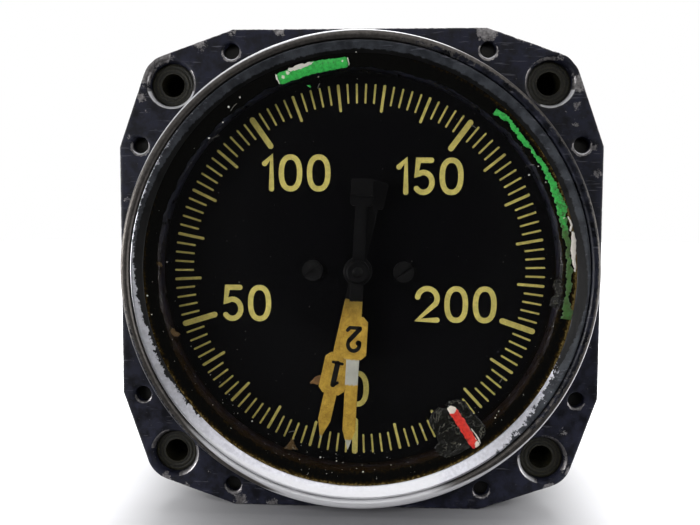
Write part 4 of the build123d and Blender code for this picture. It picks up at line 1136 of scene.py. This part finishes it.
STAINS = (
    ((-33.6, 1.5), (-33.2, 1.8), (-32.6, 1.3), (-32.4, 0.8), (-32.9, 0.9)),
    (
        (-31.2, -9.6), (-30.7, -9.5), (-30.5, -10), (-30.1, -10.1), (-29.7, -10.4), (-29.9, -10.9),
        (-30.5, -11), (-30.9, -10.6), (-31.3, -10.2)
    ),
    ((-10.8, -27.7), (-10.4, -28.8), (-9.8, -29.9), (-11.2, -29.8), (-12.3, -29.7), (-11.4, -28.8)),
)
FLAKE = (
    (-8.2, -19.3), (-7.6, -18.6), (-6.9, -18.1), (-6.3, -18), (-6.2, -19.6), (-6.9, -19.7), (-7.6, -19.5),
    (-8.1, -19.7),
)


def front_of(radius):
    """The front surface at a radius: the glass, or the compound that rises outside it."""
    share = clamp((radius - SEALANT_INNER_R) / (RING_INNER_R - SEALANT_INNER_R))
    return GLASS_FRONT - 0.2 * share - 0.12 * sin(pi * share)


def painted_strip(name, spine, material, thickness=0.14, ragged=0.12, seed=0.0, **measures):
    """A brushed mark on the glass, rounded across, with ragged sides and square ends."""
    angles, radii, widths = zip(*spine)
    ends = np.array([on_dial(radius, angle) for angle, radius in zip(angles, radii)])
    run = np.concatenate([[0], np.cumsum(np.hypot(*np.diff(ends, axis=0).T))])
    count, half = max(12, int(run[-1] / STRIP_STEP)), STRIP_ROWS
    places = np.linspace(0, run[-1], count)
    centre = np.stack([np.interp(places, run, ends[:, k]) for k in (0, 1)], 1)
    width = np.interp(places, run, widths)
    side = sideways(unit(np.gradient(centre, axis=0)))
    loops = []
    for n in range(count):
        from_end = min(n, count - 1 - n)
        taper = min(1.0, 0.35 + 0.65 * sqrt(from_end / 5))
        square = min(1.0, 0.84 + 0.16 * from_end / 3)
        top, base = [], []
        for k in range(-half, half + 1):
            x, z = centre[n] + side[n] * (k / half) * width[n] / 2 * square
            push = ragged * (abs(k) / half) * (ripple(x, seed, z, 0.8) + 0.8 * ripple(x, seed, z, 0.27))
            x, z = (x, z) + side[n] * push
            front, u = front_of(hypot(x, z)), k / half
            dome = (0.25 + 0.75 * sqrt(1 - u * u)) * taper * (0.8 + 0.4 * ripple(x, seed, z, 0.6))
            top.append((x, front - thickness * dome, z))
            base.append((x, front + 0.01, z))
        loops.append(top + base[::-1])
    shape = Shape().bridge(loops)
    size = len(loops[0])
    cap = [(n, n + 1, size - 2 - n, size - 1 - n) for n in range(2 * half)]
    for first in (0, (count - 1) * size):
        shape.faces += [tuple(first + v for v in face) for face in cap]
        shape.looks += [0] * len(cap)
    piece(name, shape, (material,), "cover_glass", **measures)


def film_patch(name, outline, material, height=0.09, seed=0.0, level=front_of, body=CASE, slot="cover_glass"):
    """A crinkled scrap or a stain, on the glass or at another level."""
    border = [
        (x + 0.12 * ripple(x, seed, z, 0.6), z + 0.12 * ripple(x, seed + 3, z, 0.6))
        for start, end in zip(outline, outline[1:] + outline[:1])
        for x, z in spaced(start, end, 0.3)
    ]
    shape = Shape().sheet([border], 0.0, 0.2)
    flat, top, size = shape.points, shape.faces, len(shape.points)
    folds = [max(0.0, 1 - abs(ripple(x, seed, z, 1.0)) * 3) for x, _, z in flat]
    shape.points = [(x, level(hypot(x, z)) - 0.03 - height * fold, z) for (x, _, z), fold in zip(flat, folds)]
    shape.points += [(x, level(hypot(x, z)) - 0.01, z) for x, _, z in flat]
    uses = Counter(tuple(sorted(edge)) for face in top for edge in zip(face, face[1:] + face[:1]))
    shape.faces = top + [tuple(size + v for v in reversed(face)) for face in top]
    shape.faces += [(a, b, size + b, size + a) for (a, b), count in uses.items() if count == 1]
    shape.looks = [0] * len(shape.faces)
    piece(name, shape, (material,), slot, body)


def rim_residue():
    """A brown stain that crept in under the compound's edge, on the glass."""
    inner, outer, back = 31.6, SEALANT_INNER_R + 0.3, GLASS_FRONT - 0.004
    profile = refined([(inner, back - 0.004), (outer, back - 0.008)], 0.3) + [(outer, back), (inner, back)]
    mix = Recipe("rim_residue_stain", Roughness=0.9, Specular_IOR_Level=0.0)
    height = mix.along(0, 0, 1)
    squares = [mix.math("POWER", value, 2.0) for value in (mix.along(1, 0, 0), height)]
    radius = mix.math("SQRT", mix.math("ADD", *squares))
    lump = mix.noise(1.6, 6, 0.7)
    cover = mix.step(mix.scale_add(lump, 1.6, radius), 32.2, 34.8, 0.0, 0.5)
    stain = mix.finish(
        lump, 0.01,
        Base_Color=mix.blend(lump, (20, 13, 3), (50, 34, 9)),
        Alpha=mix.math("MULTIPLY", cover, mix.step(height, 12.0, -20.0)),
    )
    piece("rim_residue", Shape().lathe(profile, 360), (stain,), "cover_glass")


# Dust: angle, radius and size of grains that stand out, and angle, radius, length and turn of lint
BRIGHT_SPECKS = (
    (359.4, 35.9, 0.17), (355.2, 36, 0.12), (263.5, 35.3, 0.17), (258.2, 35.1, 0.12), (272.9, 31.8, 0.08),
    (245.8, 30.5, 0.08), (51.4, 36.5, 0.1), (59.8, 32.1, 0.18), (59, 34, 0.12), (63.8, 33.9, 0.13),
    (348.5, 32.6, 0.13), (318, 33.2, 0.16), (322, 34.4, 0.2), (326, 34.6, 0.16), (312, 33, 0.2),
    (136, 33.1, 0.14), (134, 32.7, 0.12), (191, 31.6, 0.16), (186, 31.8, 0.14), (178, 33.4, 0.15),
    (215, 30.6, 0.14), (96, 33, 0.12), (140, 30.2, 0.1), (157, 28.4, 0.12),
)
LINT = (
    (323, 34, 1.5, 40), (313.5, 32.4, 1.3, 65), (150, 29.5, 1, 35), (202, 28.8, 1.1, 80),
    (348, 31.2, 0.8, 20), (57.5, 33, 1.4, 75), (126, 29.6, 1.2, 40), (38, 30.4, 0.9, 120),
)
DULL_GRAINS, BRIGHT_GRAINS = 260, 90
DUST_R = 34.5
LINT_WIDTH = 0.09


def pebble(shape, angle, radius, size, flat=0.45):
    """Adds a small rough grain that lies at a place round the dial."""
    steps, rows = 6, 3
    x, z = on_dial(radius, angle)
    y = front_of(radius) - size * 0.3
    points = [(x, y - size * flat, z)]
    for row in range(1, rows):
        tilt = pi * row / rows
        for n in range(steps):
            spread = size * (0.75 + 0.5 * rng.random())
            turn = 2 * pi * (n + 0.5 * row) / steps
            points.append((x + spread * sin(tilt) * cos(turn), y - size * flat * cos(tilt),
                           z + spread * sin(tilt) * sin(turn)))
    points.append((x, y + size * flat, z))
    faces = [(0, 1 + n, 1 + (n + 1) % steps) for n in range(steps)]
    for n in range(steps):
        a, b = 1 + n, 1 + (n + 1) % steps
        faces += [(a, a + steps, b + steps, b), (a + steps, len(points) - 1, b + steps)]
    shape.add(points, faces)


def make_dust():
    """Grains of dust on the glass and the compound, more of them towards the rim."""
    bright, dull = Shape(), Shape()
    for angle, radius, size in BRIGHT_SPECKS:
        pebble(bright, angle, radius, size)
    for _ in range(DULL_GRAINS):
        radius = DUST_R * sqrt(rng.uniform(0.02, 1.0))
        if rng.random() <= 0.25 + 0.75 * (radius / DUST_R) ** 3:
            angle = rng.uniform(0, 360)
            pebble(dull, angle, radius, 0.03 + 0.07 * rng.random() ** 3)
    for _ in range(BRIGHT_GRAINS):
        radius, angle = rng.uniform(29.5, 35.0), rng.gauss(188, 42)
        pebble(bright, angle, radius, rng.uniform(0.03, 0.075))
    for angle, radius, length, turn in LINT:
        x, z = on_dial(radius, angle)
        to_side, to_end = sin(radians(turn)), cos(radians(turn))
        runs = [(length * (n / 8 - 0.5), 0.25 * length * ((n / 8 - 0.5) ** 2)) for n in range(9)]
        line = [(x + run * to_side + bend * to_end, z + run * to_end - bend * to_side) for run, bend in runs]
        dull.stroke(line, LINT_WIDTH, front_of(radius) - 0.06, front_of(radius), cap=2)
    for name, shape, colour in (("bright", bright, (222, 220, 212)), ("dull", dull, (112, 110, 104))):
        finish = moulded(f"dust_{name}_finish", colour, 0.7, 0.1)
        piece(f"dust_{name}", shape, (finish,), "cover_glass")


def make_marks():
    green = thick_paint("green_marking", (52, 190, 78), (26, 138, 52), (222, 218, 204))
    red = thick_paint("red_marking", (236, 62, 46), (204, 36, 34), (238, 228, 214))
    chalk = moulded("white_marking", (232, 226, 216), 0.6, 0.3, dust=(150, 140, 120), dust_share=0.3)
    painted_strip("green_mark_top", GREEN_TOP, green, seed=1.0,
                  share=near_spots(GREEN_TOP_LIFTED), dirt=near_spots(GREEN_TOP_DIRT))
    painted_strip("green_mark_right", GREEN_RIGHT, green, ragged=0.34, seed=2.0,
                  share=near_spots(GREEN_RIGHT_LIFTED),
                  dirt=lambda x, y, z: curve_at(GREEN_RIGHT_DIRT, polar(x, z)[1]))
    painted_strip("green_mark_tear", WHITE_TEAR, chalk, 0.24, 0.25, seed=3.0)
    for count, spine in enumerate(WHITE_STREAKS):
        painted_strip(f"white_streak_{count + 1}", spine, chalk, 0.2, seed=4.0 + count)
    painted_strip("red_mark", RED_MARK, red, 0.26, seed=6.0,
                  share=near_spots(RED_LIFTED), dirt=near_spots(RED_DIRT))
    painted_strip("green_speck", GREEN_SPECK, green, seed=9.0)
    film = thin_residue("clear_film_scrap", (17, 17, 13), 0.22, 0.96, 0.9)
    film_patch("film_scrap_right", FILM_RIGHT, film, seed=1.0)
    film_patch("film_scrap_left", FILM_LEFT, film, seed=2.0)
    brown = thin_residue("brown_stain", (88, 64, 24), 0.8, 0.6, 0.5)
    for count, outline in enumerate(STAINS):
        film_patch(f"glass_stain_{count + 1}", outline, brown, 0.04, 5.0 + count)
    film_patch("pointer_1_flake", FLAKE, old_print("paint_flake", (124, 92, 54), (70, 46, 28)), 0.05, 9.0,
               lambda radius: BLADE_FRONT[1] + 0.15, POINTER_BODIES[1], "pointer_gold")
    side_film = thin_residue("side_film", (20, 20, 16), 0.3, 0.5, 0.8)
    film_patch("film_scrap_side", FILM_SIDE, side_film, 0.08, 3.0)


# Studio

def floor_finish():
    """White, brighter away from the case, as a lit floor looks, and with a painted shadow of grey colour
    round where the case stands.
    """
    mix = Recipe("studio_floor_white", Roughness=0.8, Specular_IOR_Level=0.2)
    flattened = mix.stretched(1, 0.35, 1)
    off = mix.vector("DISTANCE", flattened, FLOOR_SHADOW_CENTRE)
    start, full = (distance * MM for distance in FLOOR_GLOW)
    glow = mix.step(mix.vector("LENGTH", flattened), start, full, 0.0, 0.9)
    # painted shadow: grey base colour near the case, white further off
    mix.set(Base_Color=mix.over((128, 128, 131), (240, 240, 243), off, 0.012, 0.05),
            Emission_Color=(255, 255, 255), Emission_Strength=mix.seen(glow))
    return mix.material


def make_floor():
    """Two planes. Only the camera sees the front one, which would show in the glass."""
    white, half = floor_finish(), FLOOR_SIZE / 2
    for name, front, back in (("studio_floor", 0, FLOOR_SIZE), ("studio_floor_front", -FLOOR_SIZE, 0)):
        corners = ((-half, front), (half, front), (half, back), (-half, back))
        mesh = bpy.data.meshes.new(name)
        mesh.from_pydata([(x * MM, y * MM, 0.0) for x, y in corners], [], [(0, 1, 2, 3)])
        floor = placed(name, mesh)
        floor.location = (0, FLOOR_FRONT * MM, cad_box[0].z - 0.00005)
        dress(floor, white)
    floor.visible_glossy = floor.visible_diffuse = floor.visible_transmission = floor.visible_shadow = False


def make_room():
    """A grey room, dark in front of the dial and light behind it, white to the camera."""
    world = bpy.data.worlds.new("studio")
    world.use_nodes = True
    bpy.context.scene.world = world
    nodes = Nodes(world.node_tree)
    split = nodes.add("SeparateXYZ")
    nodes.join(split.inputs[0], nodes.add("TexCoord").outputs["Generated"])
    room = nodes.add("FloatCurve")
    points = room.mapping.curves[0].points
    for place, level in ROOM[2:]:
        points.new(place, level)
    for point, place in zip(points, ROOM):
        point.location = place
        point.handle_type = "VECTOR"
    room.mapping.update()
    nodes.join(room.inputs["Value"], nodes.scale_add(split.outputs["Y"], 0.5, 0.5))
    camera_ray = nodes.add("LightPath").outputs["Is Camera Ray"]
    back = nodes.tree.nodes["Background"]
    nodes.join(back.inputs["Strength"], nodes.blend_number(camera_ray, room.outputs[0], 1.0))
    nodes.join(back.inputs["Color"], (255, 255, 255))


def make_lamps():
    for name, place, aim, (width, height), power in LAMPS:
        data = bpy.data.lights.new(name, "AREA")
        data.shape = "RECTANGLE"
        data.size, data.size_y = width * MM, height * MM
        data.energy = power
        lamp = placed(name, data)
        lamp.location = Vector(place) * MM
        direction = Vector(aim) * MM - lamp.location
        lamp.rotation_euler = direction.to_track_quat("-Z", "Y").to_euler()


def make_camera():
    pitch, roll, yaw = (radians(a) for a in (CAMERA_PITCH, CAMERA_ROLL, CAMERA_YAW))
    ahead = Vector((-sin(yaw) * cos(pitch), cos(yaw) * cos(pitch), sin(pitch)))
    level = Vector((cos(yaw), sin(yaw), 0))
    upright = level.cross(ahead)
    right = cos(roll) * level + sin(roll) * upright
    up = cos(roll) * upright - sin(roll) * level
    data = bpy.data.cameras.new("photo_camera")
    data.sensor_width = SENSOR
    data.lens = FOCAL_PIXELS * SENSOR / IMAGE_WIDTH
    data.clip_start = 0.005
    camera = placed("photo_camera", data)
    turn = Matrix((right, up, -ahead)).transposed().to_4x4()
    camera.matrix_world = Matrix.Translation(Vector(CAMERA_PLACE) * MM) @ turn
    bpy.context.scene.camera = camera


def main():
    bpy.context.scene.view_settings.view_transform = "Standard"
    finish_nodes()
    make_flange()
    make_ring()
    make_sealant()
    make_scale()
    for number in POINTER_BODIES:
        make_pointer_number(number)
    make_marks()
    rim_residue()
    make_dust()
    make_floor()
    make_room()
    make_lamps()
    make_camera()


main()
